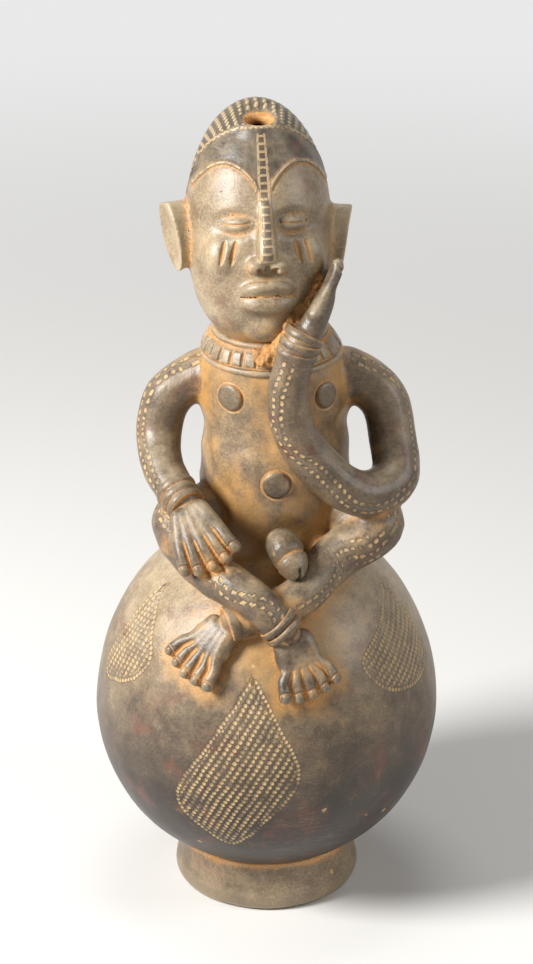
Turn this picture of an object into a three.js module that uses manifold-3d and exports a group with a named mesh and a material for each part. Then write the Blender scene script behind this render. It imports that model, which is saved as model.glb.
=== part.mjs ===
// Anthropomorphic terracotta jar: a round vessel on a foot ring, with a seated figure as its neck.
// Lengths are in millimetres. +Z is up, the figure looks along -Y and its left hand is towards +X.
// The origin is on the axis of the globe, on the surface that the foot ring stands on.
import * as THREE from 'three';
import { mergeVertices } from 'three/addons/utils/BufferGeometryUtils.js';
import Module from 'manifold-3d';

const wasm = await Module();
wasm.setup();

// Clearance that two luted clay pieces keep where they meet
const LUTING_GAP = 0.3;
// Facets round the axis of every thrown or coiled form
const ROUND_FACETS = 28;

// Foot ring
const FOOT_BASE_RADIUS = 39;
const FOOT_FLARE = 4.4;
const FOOT_FLARE_HEIGHT = 7;
const FOOT_NECK_RADIUS = 41.5;
const FOOT_HOLLOW_RADIUS = 27;
const FOOT_EDGE_ROUNDING = 3;

// Globe
const GLOBE_RADIUS = 80;
const GLOBE_CLEARANCE = 14.2;
const GLOBE_LOWER_DEPTH = 78.4;
const GLOBE_UPPER_RISE = 92;
const GLOBE_WALL = 8;
const GLOBE_MOUTH_RADIUS = 19;

// Torso, shoulders and neck
const TORSO_SHIFT = 4;
const TORSO_RADIUS = 34;
const TORSO_DEPTH_RATIO = 0.88;
const TORSO_HEIGHT = 62;
const BELLY_FULLNESS = 0.08;
const BELLY_HEIGHT = 30;
const SEAT_FULLNESS = 0.14;
const SHOULDER_RISE = 38;
const NECK_RADIUS = 17;
const NECK_HEIGHT = 8;
const TORSO_WALL = 7;
const LEAN = 0.075;
const HEAD_ROLL = 2;

// Head
const HEAD_HALF_WIDTH = 32.3;
const HEAD_HALF_DEPTH = 34;
const HEAD_HALF_HEIGHT = 54;
const HEAD_WALL = 8;
const HEAD_SET_BACK = 0;
const NECK_SINK = 13.5;
const HEAD_TILT_BACK = 18;
const HEAD_TURN = 6;
const CROWN_FULLNESS = 2;
const JAW_FULLNESS = 2.7;
const MOUTH_HOLE_RADIUS = 6.6;
const MOUTH_HOLE_FORWARD = 17;
const MOUTH_HOLE_SLANT = 20;

// Ears
const EAR_HALF_HEIGHT = 17;
const EAR_HALF_DEPTH = 10.5;
const EAR_REACH = 9.5;
const EAR_ROOT_SHARE = 0.72;
const EAR_FLAT_TOP = 0.86;
const EAR_DISH = 2.2;
const EAR_DROPS = { right: 3.8, left: 8 };
const EAR_FORWARD_TURN = 17;
const EAR_FLARE = 11;

// Arms, hands and bracelets
const SHOULDER_LIFT = 9;
const SHOULDER_ROLL_RADIUS = 13;
const UPPER_ARM_RADIUS = 11;
const WRIST_RADIUS = 8.5;
const ARM_GAP = 8;
const HAND_LENGTH = 19;
const HAND_WIDTH = 24;
const HAND_THICKNESS = 9;
const FINGER_RADIUS = 3;
const FINGER_LENGTH = 15;
const DIGITS = 5;
const DIGIT_SPREAD = 0.55;
const BRACELET_CORD_RADIUS = 1.2;
const BRACELET_PITCH = 4.2;
const BRACELETS = 3;
const BRACELET_SET_BACK = 5;
// The bends of each arm: shares of its reach outwards, the chest's depth forwards, the torso's height down
const RIGHT_ARM_BENDS = [
  [0.385, -0.1, -0.05], [0.64, -0.1, -0.02], [0.906, -0.03, 0.13], [1, 0.1, 0.4], [0.962, 0.535, 0.58],
  [0.83, 1, 0.7], [0.717, 1.3, 0.774],
];
const LEFT_ARM_BENDS = [
  [0.385, -0.1, -0.05], [0.64, -0.1, -0.02], [0.906, -0.03, 0.13], [1, 0.167, 0.4], [1.019, 0.6, 0.661],
  [0.717, 1.1, 0.677], [0.395, 1.267, 0.452], [0.169, 1.334, 0.161], [0.102, 1.351, -0.161],
  [0.203, 1.368, -0.548], [0.282, 1.3, -0.677],
];
const HAND_DROOP = 3;

// Legs, feet and anklets
const KNEE_RADIUS = 12;
const ANKLE_RADIUS = 8.2;
const KNEE_LIFT = 12;
const FOOT_LENGTH = 24;
const FOOT_WIDTH = 27;
const FOOT_THICKNESS = 12;
const TOE_RADIUS = 2.9;
const TOE_LENGTH = 11;
const ANKLET_CORD_RADIUS = 1.6;
const ANKLET_PITCH = 4.2;
const ANKLETS = 2;
const ANKLET_SET_BACK = 6;
const LEFT_ANKLET_SET_BACK = 3.2;
const TOE_DROOP = 1.5;
// The bends of each shin: degrees from the front, degrees above the globe's equator, lift in ankle radii
const RIGHT_SHIN_BENDS = [[-32, 57, 1.9], [-6, 50, 1.75], [10.5, 40.5, 0.8]];
const LEFT_SHIN_BENDS = [[42, 60, 1.2], [14, 52, 0.6], [-2, 49.5, 0.35], [-18.5, 43.2, 0.8]];
// Where each foot's heel and toes lie, in the same degrees
const FOOT_LIFT = 4;
const RIGHT_FOOT_PLACES = { heel: [10, 41.5], toes: [15.5, 26] };
const LEFT_FOOT_PLACES = { heel: [-18, 43.8], toes: [-28, 31.5] };

// Collar
const COLLAR_CORD_RADIUS = 1.9;
const COLLAR_BAND_THICKNESS = 2;
const COLLAR_PAD_RISE = 1.1;
const COLLAR_PADS = 22;
const COLLAR_BAND_HEIGHT = 7.5;
const COLLAR_RISE = 25.5;

// Applied discs and the small modelled features
const DISC_RADIUS = 6.3;
const DISC_RISE = 2.6;
const MEMBER_RADIUS = 8;
const MEMBER_LENGTH = 30;
const MEMBER_RISE = 11;
const BREAST_TURNS = { right: -36, left: 45 };
const BREAST_LIFT = 10.5;
const NAVEL_DROP = 29;
const WRIST_CLAY_SIZE = [7, 5, 8];

const CLAY = 0x4a3c31;
const BROWN_CLAY = 0x5a4433;
const OCHRE_CLAY = 0x8a6238;

const { degToRad, lerp, smoothstep, clamp } = THREE.MathUtils;
const at = (x, y, z) => new THREE.Vector3(x, y, z);

// Heights that follow from the driving dimensions
const GLOBE_CENTRE = GLOBE_CLEARANCE + GLOBE_LOWER_DEPTH;
const SEAT = GLOBE_CENTRE + GLOBE_UPPER_RISE;
const SHOULDER_LINE = SEAT + TORSO_HEIGHT;
const NECK_BASE = SHOULDER_LINE + SHOULDER_RISE;
const NECK_TOP = NECK_BASE + NECK_HEIGHT;

// Turns a closed geometry into a solid that can be joined and cut
function toSolid(geometry) {
  geometry.deleteAttribute('normal');
  geometry.deleteAttribute('uv');
  const merged = mergeVertices(geometry, 1e-4);
  const corners = [];
  for (let i = 0; i < merged.index.count; i += 3) {
    const [a, b, c] = [0, 1, 2].map((k) => merged.index.getX(i + k));
    if (a !== b && b !== c && c !== a) corners.push(a, b, c);
  }
  return new wasm.Manifold(new wasm.Mesh({
    numProp: 3,
    vertProperties: Float32Array.from(merged.attributes.position.array),
    triVerts: Uint32Array.from(corners),
  }));
}

function toMesh(name, solid, color) {
  const { vertProperties, triVerts } = solid.getMesh();
  const geometry = new THREE.BufferGeometry();
  geometry.setAttribute('position', new THREE.BufferAttribute(vertProperties, 3));
  geometry.setIndex(new THREE.BufferAttribute(triVerts, 1));
  geometry.computeVertexNormals();
  const material = new THREE.MeshStandardMaterial({ color, roughness: 0.55, metalness: 0 });
  const mesh = new THREE.Mesh(geometry, material);
  mesh.name = name;
  return mesh;
}

// A solid cut back by its neighbours: the largest body is kept, and loose slivers of clay are cleaned away
function cutBy(solid, ...neighbours) {
  const rest = neighbours.reduce((left, other) => left.subtract(other), solid);
  return rest.decompose().reduce((largest, body) => (body.volume() > largest.volume() ? body : largest));
}

// A form turned about the vertical axis, from [radius, height] pairs
function turned(profile, facets = ROUND_FACETS) {
  const points = profile.map(([radius, height]) => new THREE.Vector2(Math.max(radius, 0), height));
  const geometry = new THREE.LatheGeometry(points, facets);
  geometry.rotateX(Math.PI / 2);
  return geometry;
}

// A roll of clay along a route. thicknessAt(0..1) is its half thickness, flat = [direction, factor] presses
// it along one direction, and domed says whether its start and its end are rounded.
function clayRoll(route, thicknessAt, options) {
  const { grow = 0, sides = 12, steps = 16, flat = null, domed = [true, true] } = options;
  const geometry = new THREE.CylinderGeometry(1, 1, 1, sides, steps);
  const frames = route.computeFrenetFrames(steps, false);
  const length = route.getLength();
  const place = geometry.attributes.position;
  for (let i = 0; i < place.count; i += 1) {
    const row = Math.round((0.5 - place.getY(i)) * steps);
    const along = row / steps;
    const thickness = thicknessAt(along);
    const ends = [along, 1 - along].filter((share, end) => domed[end]);
    const fromEnd = Math.min(1, ...ends.map((share) => share * length / thickness));
    const dome = Math.max(0.55, Math.sqrt(1 - (1 - fromEnd) ** 2));
    const out = at(0, 0, 0);
    out.addScaledVector(frames.normals[row], place.getX(i));
    out.addScaledVector(frames.binormals[row], place.getZ(i));
    const spread = out.clone().multiplyScalar(thickness * dome);
    if (flat) spread.addScaledVector(flat[0], -(1 - flat[1]) * spread.dot(flat[0]));
    spread.addScaledVector(out, grow);
    if (row === 0) spread.addScaledVector(frames.tangents[0], -grow);
    if (row === steps) spread.addScaledVector(frames.tangents[steps], grow);
    spread.add(route.getPointAt(along));
    place.setXYZ(i, spread.x, spread.y, spread.z);
  }
  return toSolid(geometry);
}

// Limbs end flat, where a hand, a foot or the body takes over
const limbEnds = [false, false];
const routeThrough = (...points) => new THREE.CatmullRomCurve3(points, false, 'centripetal');

// A thickness that runs through evenly spaced values along a roll
function tapering(...values) {
  return (along) => {
    const step = clamp(along, 0, 1) * (values.length - 1);
    const index = Math.min(Math.floor(step), values.length - 2);
    return lerp(values[index], values[index + 1], step - index);
  };
}

// Globe: its lower half is a true round, and its upper half is a little fuller
function globePoint(angle, inset) {
  const rise = angle > 0 ? GLOBE_UPPER_RISE : GLOBE_LOWER_DEPTH;
  return [(GLOBE_RADIUS - inset) * Math.cos(angle), GLOBE_CENTRE + (rise - inset) * Math.sin(angle)];
}

function globeArc(inset, topRadius, steps) {
  const end = Math.acos(topRadius / (GLOBE_RADIUS - inset));
  const start = -Math.PI / 2;
  return Array.from({ length: steps + 1 }, (_, i) => globePoint(lerp(start, end, i / steps), inset));
}

// The height of the globe's underside at a distance from its axis
function undersideAt(radius) {
  return GLOBE_CENTRE - GLOBE_LOWER_DEPTH * Math.sqrt(1 - (radius / GLOBE_RADIUS) ** 2);
}

// Foot ring: flat under its edge, flared, and drawn in where its top follows the globe
function footRing() {
  const flare = FOOT_BASE_RADIUS + FOOT_FLARE;
  const side = new THREE.SplineCurve([
    new THREE.Vector2(FOOT_BASE_RADIUS, 0),
    new THREE.Vector2(flare - 0.8, FOOT_FLARE_HEIGHT * 0.4),
    new THREE.Vector2(flare, FOOT_FLARE_HEIGHT),
    new THREE.Vector2(FOOT_NECK_RADIUS, FOOT_FLARE_HEIGHT * 2.2),
    new THREE.Vector2(FOOT_NECK_RADIUS, undersideAt(FOOT_NECK_RADIUS) - LUTING_GAP),
  ]).getPoints(7).map((point) => [point.x, point.y]);
  const seatRadii = [lerp(FOOT_NECK_RADIUS, FOOT_HOLLOW_RADIUS, 0.5), FOOT_HOLLOW_RADIUS];
  const hollow = [
    ...seatRadii.map((radius) => [radius, undersideAt(radius) - LUTING_GAP]),
    [FOOT_HOLLOW_RADIUS, FOOT_EDGE_ROUNDING],
    [FOOT_HOLLOW_RADIUS + FOOT_EDGE_ROUNDING, 0],
  ];
  return toSolid(turned([...side, ...hollow, side[0]]));
}

const globeForm = (grow) => toSolid(turned(globeArc(-grow, 0, 16)));

function globeShell() {
  const outside = globeArc(0, GLOBE_MOUTH_RADIUS, 16);
  const inside = globeArc(GLOBE_WALL, GLOBE_MOUTH_RADIUS, 9);
  return toSolid(turned([...outside, ...inside.reverse()]));
}

// A point over the globe's surface: turned from the front, raised above its equator, and lifted clear
function onGlobe(turn, raise, lift) {
  const [radius, height] = globePoint(degToRad(raise), -lift);
  return at(radius * Math.sin(degToRad(turn)), -radius * Math.cos(degToRad(turn)), height);
}

// Torso: an upright barrel, then sloping shoulders, then the neck
function torsoRadius(height) {
  if (height > NECK_BASE) return NECK_RADIUS;
  if (height < SHOULDER_LINE) return TORSO_RADIUS;
  const share = (height - SHOULDER_LINE) / SHOULDER_RISE;
  return NECK_RADIUS + (TORSO_RADIUS - NECK_RADIUS) * Math.sqrt(1 - share ** 2);
}

// The figure leans a little to its right above the shoulders
const leanAt = (height) => TORSO_SHIFT - LEAN * Math.max(0, height - SHOULDER_LINE);

// How deep the torso is for its width: an oval with a full belly and seat that rounds out into the neck
function depthRatio(height, atFront) {
  const [fullness, middle] = atFront ? [BELLY_FULLNESS, SEAT + BELLY_HEIGHT] : [SEAT_FULLNESS, SEAT];
  const swell = 1 + fullness * Math.exp(-(((height - middle) / (TORSO_HEIGHT / 3)) ** 2));
  return swell * lerp(TORSO_DEPTH_RATIO, 1, smoothstep(height, SHOULDER_LINE, NECK_BASE));
}

// The collar's lower edge, middle and upper edge, which the shoulders' facets follow
const collarLow = SHOULDER_LINE + COLLAR_RISE;
const collarLevels = [collarLow, collarLow + COLLAR_BAND_HEIGHT];

// A [radius, height] pair that lies off the shoulders' slope by a distance
function offShoulder(height, distance) {
  const slope = new THREE.Vector2(torsoRadius(height + 0.5) - torsoRadius(height - 0.5), 1).normalize();
  return [torsoRadius(height) + slope.y * distance, height - slope.x * distance];
}

function torsoSolid(low, high, offset) {
  const heights = [
    low,
    ...[0.12, 0.35, 0.6, 0.8].map((share) => lerp(low, SHOULDER_LINE, share)),
    SHOULDER_LINE,
    lerp(SHOULDER_LINE, collarLow, 0.6),
    ...collarLevels,
    lerp(collarLevels[1], NECK_BASE, 0.6),
    NECK_BASE,
    high,
  ];
  const side = heights.map((height) => [torsoRadius(height) + offset, height]);
  const geometry = turned([[0, low], ...side, [0, high]]);
  const place = geometry.attributes.position;
  for (let i = 0; i < place.count; i += 1) {
    const height = place.getZ(i);
    place.setX(i, place.getX(i) + leanAt(height));
    place.setY(i, place.getY(i) * depthRatio(height, place.getY(i) < 0));
  }
  return toSolid(geometry);
}

const torsoFoot = SEAT - GLOBE_UPPER_RISE * 0.2;
const torsoForm = (grow) => torsoSolid(torsoFoot - grow, NECK_TOP + grow, grow);
const torsoHollow = () => torsoSolid(torsoFoot - 1, NECK_TOP + HEAD_WALL, -TORSO_WALL);

// A point on the torso's surface at a height, turned from the front towards the figure's left
function onTorso(turn, height, lift = 0) {
  const radius = torsoRadius(height) + lift;
  const angle = degToRad(turn);
  const depth = radius * Math.cos(angle) * depthRatio(height, true);
  return at(leanAt(height) + radius * Math.sin(angle), -depth, height);
}

// Head: an egg that narrows to the crown and stays full at the jaw, tilted back, turned and leaning
const headCentre = at(
  leanAt(NECK_TOP + HEAD_HALF_HEIGHT),
  HEAD_SET_BACK,
  NECK_TOP - NECK_SINK + HEAD_HALF_HEIGHT,
);
const headPose = new THREE.Matrix4().makeTranslation(headCentre)
  .multiply(new THREE.Matrix4().makeRotationY(degToRad(-HEAD_ROLL)))
  .multiply(new THREE.Matrix4().makeRotationX(degToRad(-HEAD_TILT_BACK)))
  .multiply(new THREE.Matrix4().makeRotationZ(degToRad(HEAD_TURN)));

function headRing(level) {
  const fullness = level > 0 ? CROWN_FULLNESS : JAW_FULLNESS;
  return (1 - Math.min(1, Math.abs(level)) ** fullness) ** (1 / fullness);
}

function headEgg(offset, facets, rows) {
  const geometry = new THREE.SphereGeometry(1, facets, rows);
  geometry.rotateX(Math.PI / 2);
  const place = geometry.attributes.position;
  for (let i = 0; i < place.count; i += 1) {
    const [x, y, level] = [place.getX(i), place.getY(i), place.getZ(i)];
    const flatRadius = Math.hypot(x, y) || 1;
    const ring = headRing(level);
    place.setXYZ(
      i,
      (x / flatRadius) * ring * (HEAD_HALF_WIDTH + offset),
      (y / flatRadius) * ring * (HEAD_HALF_DEPTH + offset),
      level * (HEAD_HALF_HEIGHT + offset),
    );
  }
  return toSolid(geometry.applyMatrix4(headPose));
}

const headForm = (grow) => headEgg(grow, 26, 14);

function headShell() {
  const slant = degToRad(MOUTH_HOLE_SLANT);
  const bore = new THREE.CylinderGeometry(MOUTH_HOLE_RADIUS, MOUTH_HOLE_RADIUS, HEAD_WALL * 5, 16);
  bore.rotateX(Math.PI / 2 + slant);
  bore.translate(0, -MOUTH_HOLE_FORWARD, HEAD_HALF_HEIGHT * 0.85);
  bore.applyMatrix4(headPose);
  return cutBy(headForm(0), headEgg(-HEAD_WALL, 16, 8), toSolid(bore), torsoForm(LUTING_GAP), torsoHollow());
}

// A point on the face in the head's own directions: across, up, and lifted off the surface
function onFace(across, up, lift = 0) {
  const ring = headRing(up / HEAD_HALF_HEIGHT);
  const share = clamp(across / (ring * HEAD_HALF_WIDTH), -0.98, 0.98);
  const y = -(HEAD_HALF_DEPTH * ring * Math.sqrt(1 - share ** 2) + lift);
  return at(across, y, up).applyMatrix4(headPose);
}

// Ears: dished plates with a flat top, wider at their outer face than at their root, turned a little forwards
function ear(side, drop) {
  const sunk = HEAD_HALF_WIDTH * 0.4;
  const plate = new THREE.CylinderGeometry(1, EAR_ROOT_SHARE, EAR_REACH + sunk, 14);
  const flatten = plate.attributes.position;
  for (let i = 0; i < flatten.count; i += 1) flatten.setZ(i, Math.max(flatten.getZ(i), -EAR_FLAT_TOP));
  plate.translate(0, (EAR_REACH - sunk) / 2, 0);
  plate.scale(EAR_HALF_DEPTH, 1, EAR_HALF_HEIGHT);
  const dish = new THREE.SphereGeometry(1, 10, 6);
  dish.scale(EAR_HALF_DEPTH * 0.72, EAR_DISH, EAR_HALF_HEIGHT * 0.72);
  dish.translate(0, EAR_REACH, 0);
  const solids = [plate, dish].map((geometry) => {
    geometry.rotateX(Math.PI / 2);
    geometry.rotateY(Math.PI / 2);
    geometry.rotateX(Math.PI / 2);
    if (side < 0) geometry.rotateZ(Math.PI);
    geometry.rotateY(degToRad(side * EAR_FLARE));
    geometry.rotateZ(degToRad(-side * EAR_FORWARD_TURN));
    geometry.translate(side * HEAD_HALF_WIDTH, 0, -drop);
    return toSolid(geometry.applyMatrix4(headPose));
  });
  return cutBy(solids[0], solids[1], headForm(LUTING_GAP));
}

// Facial features, placed by the classic rules: eyes half way up the head, one eye's width apart,
// the nose's base half way from brow to chin, and the mouth a third of the way below it
const EYE_WIDTH = HEAD_HALF_WIDTH * 0.4;
const BROW_LEVEL = HEAD_HALF_HEIGHT * 0.14;
const CHIN_LEVEL = -HEAD_HALF_HEIGHT * 0.94;
const NOSE_BASE_LEVEL = lerp(BROW_LEVEL, CHIN_LEVEL, 0.5);
const MOUTH_LEVEL = lerp(NOSE_BASE_LEVEL, CHIN_LEVEL, 0.36);

function nose() {
  const ridge = routeThrough(
    onFace(0, BROW_LEVEL, -1),
    onFace(0, lerp(BROW_LEVEL, NOSE_BASE_LEVEL, 0.5), 0.5),
    onFace(0, NOSE_BASE_LEVEL + 1, 2),
  );
  const bridge = clayRoll(ridge, tapering(2.4, 4, 6), { sides: 7, steps: 4 });
  const wingLevel = NOSE_BASE_LEVEL + 2;
  const nostrils = [-1, 1].map((side) => clayRoll(
    routeThrough(onFace(side * 2, wingLevel, 1), onFace(side * EYE_WIDTH * 0.5, wingLevel, 0.5)),
    tapering(3.4, 2.8),
    { sides: 7, steps: 2 },
  ));
  return cutBy(bridge.add(nostrils[0]).add(nostrils[1]), headForm(LUTING_GAP));
}

function lip(bow, level, thickness) {
  const reach = EYE_WIDTH * 0.95;
  const points = [-1, -0.5, 0, 0.5, 1].map(
    (share) => onFace(share * reach, level + bow * (1 - share ** 2), 0.3),
  );
  const fullness = tapering(1.4, thickness, thickness, thickness, 1.4);
  return clayRoll(routeThrough(...points), fullness, { sides: 6, steps: 9 });
}

function eyelids(side) {
  const centre = side * EYE_WIDTH;
  const points = [-1, 0, 1].map((share) => onFace(centre + share * EYE_WIDTH * 0.5, 0, -0.6));
  const pellet = clayRoll(routeThrough(...points), tapering(1.2, 3.6, 3.6, 1.2), { sides: 8, steps: 6 });
  const slitPoints = [-1, 0, 1].map((share) => onFace(centre + share * EYE_WIDTH * 0.4, 0, 3.2));
  const slit = clayRoll(routeThrough(...slitPoints), () => 0.9, { sides: 4, steps: 4 });
  return cutBy(pellet, slit, headForm(LUTING_GAP));
}

// Arms
const shoulderHeight = SHOULDER_LINE + SHOULDER_LIFT;
const armReach = TORSO_RADIUS + ARM_GAP + UPPER_ARM_RADIUS;
const chestFront = TORSO_RADIUS * TORSO_DEPTH_RATIO;

function armRoute(side, bends) {
  return routeThrough(...bends.map(([outwards, forwards, down]) => at(
    TORSO_SHIFT + side * outwards * armReach,
    -forwards * chestFront,
    shoulderHeight - down * TORSO_HEIGHT,
  )));
}

const rightArmRoute = armRoute(-1, RIGHT_ARM_BENDS);
const leftArmRoute = armRoute(1, LEFT_ARM_BENDS);

const armThickness = tapering(
  SHOULDER_ROLL_RADIUS,
  UPPER_ARM_RADIUS,
  UPPER_ARM_RADIUS,
  UPPER_ARM_RADIUS * 0.93,
  lerp(UPPER_ARM_RADIUS, WRIST_RADIUS, 0.7),
  WRIST_RADIUS,
);
const rightArmForm = (grow) => clayRoll(rightArmRoute, armThickness, { grow, steps: 14, domed: limbEnds });
const leftArmForm = (grow) => clayRoll(leftArmRoute, armThickness, { grow, steps: 24, domed: limbEnds });

// Digits fanned out from the end of a palm or sole
function digits({ root, forward, side, up, reach, width, droop }, radius, length) {
  const rolls = Array.from({ length: DIGITS }, (_, i) => {
    const share = i / (DIGITS - 1) - 0.5;
    const direction = forward.clone().addScaledVector(side, share * DIGIT_SPREAD).normalize();
    const start = root.clone().addScaledVector(forward, reach * 0.75);
    start.addScaledVector(side, share * (width - 2 * radius));
    const middle = start.clone().addScaledVector(direction, length * 0.6);
    const tip = start.clone().addScaledVector(direction, length * (1.1 - share ** 2));
    tip.addScaledVector(up, -droop);
    const thickness = tapering(radius, radius, radius * 1.1);
    return clayRoll(routeThrough(start, middle, tip), thickness, { sides: 6, steps: 3 });
  });
  return rolls.reduce((joined, roll) => joined.add(roll));
}

// A hand or foot: a flattened pad that widens towards its digits
function fan(pose, thickness, digitRadius, digitLength) {
  const { root, forward, up, reach, width } = pose;
  const pad = clayRoll(
    routeThrough(...[0, 0.5, 1].map((share) => root.clone().addScaledVector(forward, reach * share))),
    tapering(width * 0.28, width * 0.42, width * 0.5),
    { sides: 8, steps: 4, flat: [up, thickness / width], domed: limbEnds },
  );
  return pad.add(digits(pose, digitRadius, digitLength));
}

function fanPose(root, towards, up, size) {
  const forward = towards.clone().sub(root).normalize();
  const side = forward.clone().cross(up).normalize();
  return { root, forward, side, up: side.clone().cross(forward).normalize(), ...size };
}

const rightWrist = rightArmRoute.getPointAt(1);
const rightHandPose = fanPose(
  rightWrist.clone().add(at(-1.5, -1.5, 1.5)),
  rightWrist.clone().add(at(0.4 * HAND_WIDTH, -HAND_LENGTH, -0.9 * HAND_LENGTH)),
  at(-0.2, -0.75, 0.6),
  { reach: HAND_LENGTH, width: HAND_WIDTH, droop: HAND_DROOP },
);
const leftWrist = leftArmRoute.getPointAt(1);
const besideCheek = at(HEAD_HALF_WIDTH * 1.18, -HEAD_HALF_DEPTH * 0.3, -HEAD_HALF_HEIGHT / 6);
const leftHandPose = fanPose(
  leftWrist.clone().add(at(1, 2, 2)),
  headCentre.clone().add(besideCheek),
  at(0.95, -0.35, 0),
  { reach: HAND_LENGTH, width: HAND_WIDTH, droop: HAND_DROOP / 3 },
);

const handForm = (pose) => fan(pose, HAND_THICKNESS, FINGER_RADIUS, FINGER_LENGTH);

// Legs: from the hip out to the knee and back across the globe to the ankle
function legRoute(side, kneeReach, kneeDepth, bends) {
  return routeThrough(
    at(TORSO_SHIFT + side * TORSO_RADIUS * 0.45, 0, SEAT + KNEE_LIFT * 0.75),
    at(TORSO_SHIFT + side * TORSO_RADIUS * 0.95, -chestFront * 0.47, SEAT + KNEE_LIFT),
    at(TORSO_SHIFT + side * kneeReach * armReach, -chestFront * kneeDepth, SEAT + KNEE_LIFT * 0.87),
    ...bends.map(([turn, raise, lift]) => onGlobe(turn, raise, lift * ANKLE_RADIUS)),
  );
}

const rightLegRoute = legRoute(-1, 0.83, 0.67, RIGHT_SHIN_BENDS);
const leftLegRoute = legRoute(1, 0.887, 0.8, LEFT_SHIN_BENDS);
const legThickness = tapering(
  KNEE_RADIUS,
  KNEE_RADIUS,
  KNEE_RADIUS,
  lerp(ANKLE_RADIUS, KNEE_RADIUS, 0.5),
  ANKLE_RADIUS * 1.1,
  ANKLE_RADIUS,
);
const legOptions = { sides: 10, steps: 16, domed: limbEnds };
const rightLegForm = (grow) => clayRoll(rightLegRoute, legThickness, { ...legOptions, grow });
const leftLegForm = (grow) => clayRoll(leftLegRoute, legThickness, { ...legOptions, grow });

function footPose({ heel, toes }) {
  const sole = onGlobe(...heel, 0);
  return fanPose(
    onGlobe(...heel, FOOT_LIFT),
    onGlobe(...toes, FOOT_LIFT * 0.9),
    onGlobe((heel[0] + toes[0]) / 2, (heel[1] + toes[1]) / 2, GLOBE_RADIUS).sub(sole),
    { reach: FOOT_LENGTH, width: FOOT_WIDTH, droop: TOE_DROOP },
  );
}

const rightFootPose = footPose(RIGHT_FOOT_PLACES);
const leftFootPose = footPose(LEFT_FOOT_PLACES);
const footForm = (pose) => fan(pose, FOOT_THICKNESS, TOE_RADIUS, TOE_LENGTH);

// Cords tied round a wrist or ankle, one behind the other along the limb
function limbCords(route, thicknessAt, { cordRadius, pitch, count, fromEnd, grow = 0 }) {
  const length = route.getLength();
  const facets = 14;
  return Array.from({ length: count }, (_, i) => {
    const along = 1 - (fromEnd + i * pitch) / length;
    const inside = (thicknessAt(along) + LUTING_GAP) / Math.cos(Math.PI / facets);
    const ring = new THREE.TorusGeometry(inside + cordRadius, cordRadius + grow, 5, facets);
    ring.applyQuaternion(new THREE.Quaternion().setFromUnitVectors(at(0, 0, 1), route.getTangentAt(along)));
    const centre = route.getPointAt(along);
    return toSolid(ring.translate(centre.x, centre.y, centre.z));
  });
}

const braceletSizes = {
  cordRadius: BRACELET_CORD_RADIUS,
  pitch: BRACELET_PITCH,
  count: BRACELETS,
  fromEnd: BRACELET_SET_BACK,
};
const ankletSizes = {
  cordRadius: ANKLET_CORD_RADIUS,
  pitch: ANKLET_PITCH,
  count: ANKLETS,
  fromEnd: ANKLET_SET_BACK,
};

// Collar: a band of raised pads between two cords, lying on the slope of the shoulders
function followShoulders(geometry) {
  const place = geometry.attributes.position;
  for (let i = 0; i < place.count; i += 1) {
    const height = place.getZ(i);
    place.setX(i, place.getX(i) + leanAt(height));
    place.setY(i, place.getY(i) * depthRatio(height, place.getY(i) < 0));
  }
  return toSolid(geometry);
}

function collarCord(height, grow = 0) {
  const [radius, level] = offShoulder(height, LUTING_GAP + COLLAR_CORD_RADIUS);
  const ring = new THREE.TorusGeometry(radius, COLLAR_CORD_RADIUS + grow, 6, ROUND_FACETS);
  return followShoulders(ring.translate(0, 0, level));
}

function collarBand() {
  const facets = COLLAR_PADS * 4;
  const outer = collarLevels.map((height) => offShoulder(height, LUTING_GAP + COLLAR_BAND_THICKNESS));
  const inner = collarLevels.map((height) => offShoulder(height, LUTING_GAP)).reverse();
  const geometry = turned([...outer, ...inner, outer[0]], facets);
  const place = geometry.attributes.position;
  for (let i = 0; i < place.count; i += 1) {
    const [x, y, height] = [place.getX(i), place.getY(i), place.getZ(i)];
    const radius = Math.hypot(x, y);
    const column = Math.round((Math.atan2(y, x) / (2 * Math.PI)) * facets);
    const onPad = ((column % 4) + 4) % 4 < 2;
    const outside = radius > torsoRadius(height) + COLLAR_BAND_THICKNESS * 0.7;
    const factor = onPad && outside ? (radius + COLLAR_PAD_RISE) / radius : 1;
    place.setX(i, x * factor);
    place.setY(i, y * factor);
  }
  return followShoulders(geometry);
}

// A flat round disc with a domed face, pressed onto the torso
function disc(turn, height) {
  const profile = [
    [0, -DISC_RISE],
    [DISC_RADIUS, -DISC_RISE],
    [DISC_RADIUS, DISC_RISE * 0.5],
    [DISC_RADIUS * 0.75, DISC_RISE * 0.9],
    [0, DISC_RISE],
  ];
  const geometry = turned(profile, 14);
  const centre = onTorso(turn, height, 2 * LUTING_GAP);
  const away = onTorso(turn, height, DISC_RADIUS).sub(centre).normalize();
  geometry.applyQuaternion(new THREE.Quaternion().setFromUnitVectors(at(0, 0, 1), away));
  geometry.translate(centre.x, centre.y, centre.z);
  return toSolid(geometry);
}

// The short roll between the thighs, with a slit in its rounded end
function member() {
  const start = at(TORSO_SHIFT - 2, -chestFront - 2, SEAT + MEMBER_RISE);
  const direction = at(0.42, -0.72, -0.5).normalize();
  const middle = start.clone().addScaledVector(direction, MEMBER_LENGTH * 0.5);
  const tip = start.clone().addScaledVector(direction, MEMBER_LENGTH);
  const thickness = tapering(MEMBER_RADIUS, MEMBER_RADIUS, MEMBER_RADIUS * 1.1);
  const roll = clayRoll(routeThrough(start, middle, tip), thickness, { sides: 10, steps: 7 });
  const slit = clayRoll(
    routeThrough(tip.clone().add(at(1, -3, 5)), tip.clone().add(at(3, -3, -3))),
    () => 0.8,
    { sides: 4, steps: 1 },
  );
  return roll.subtract(slit);
}

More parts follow.
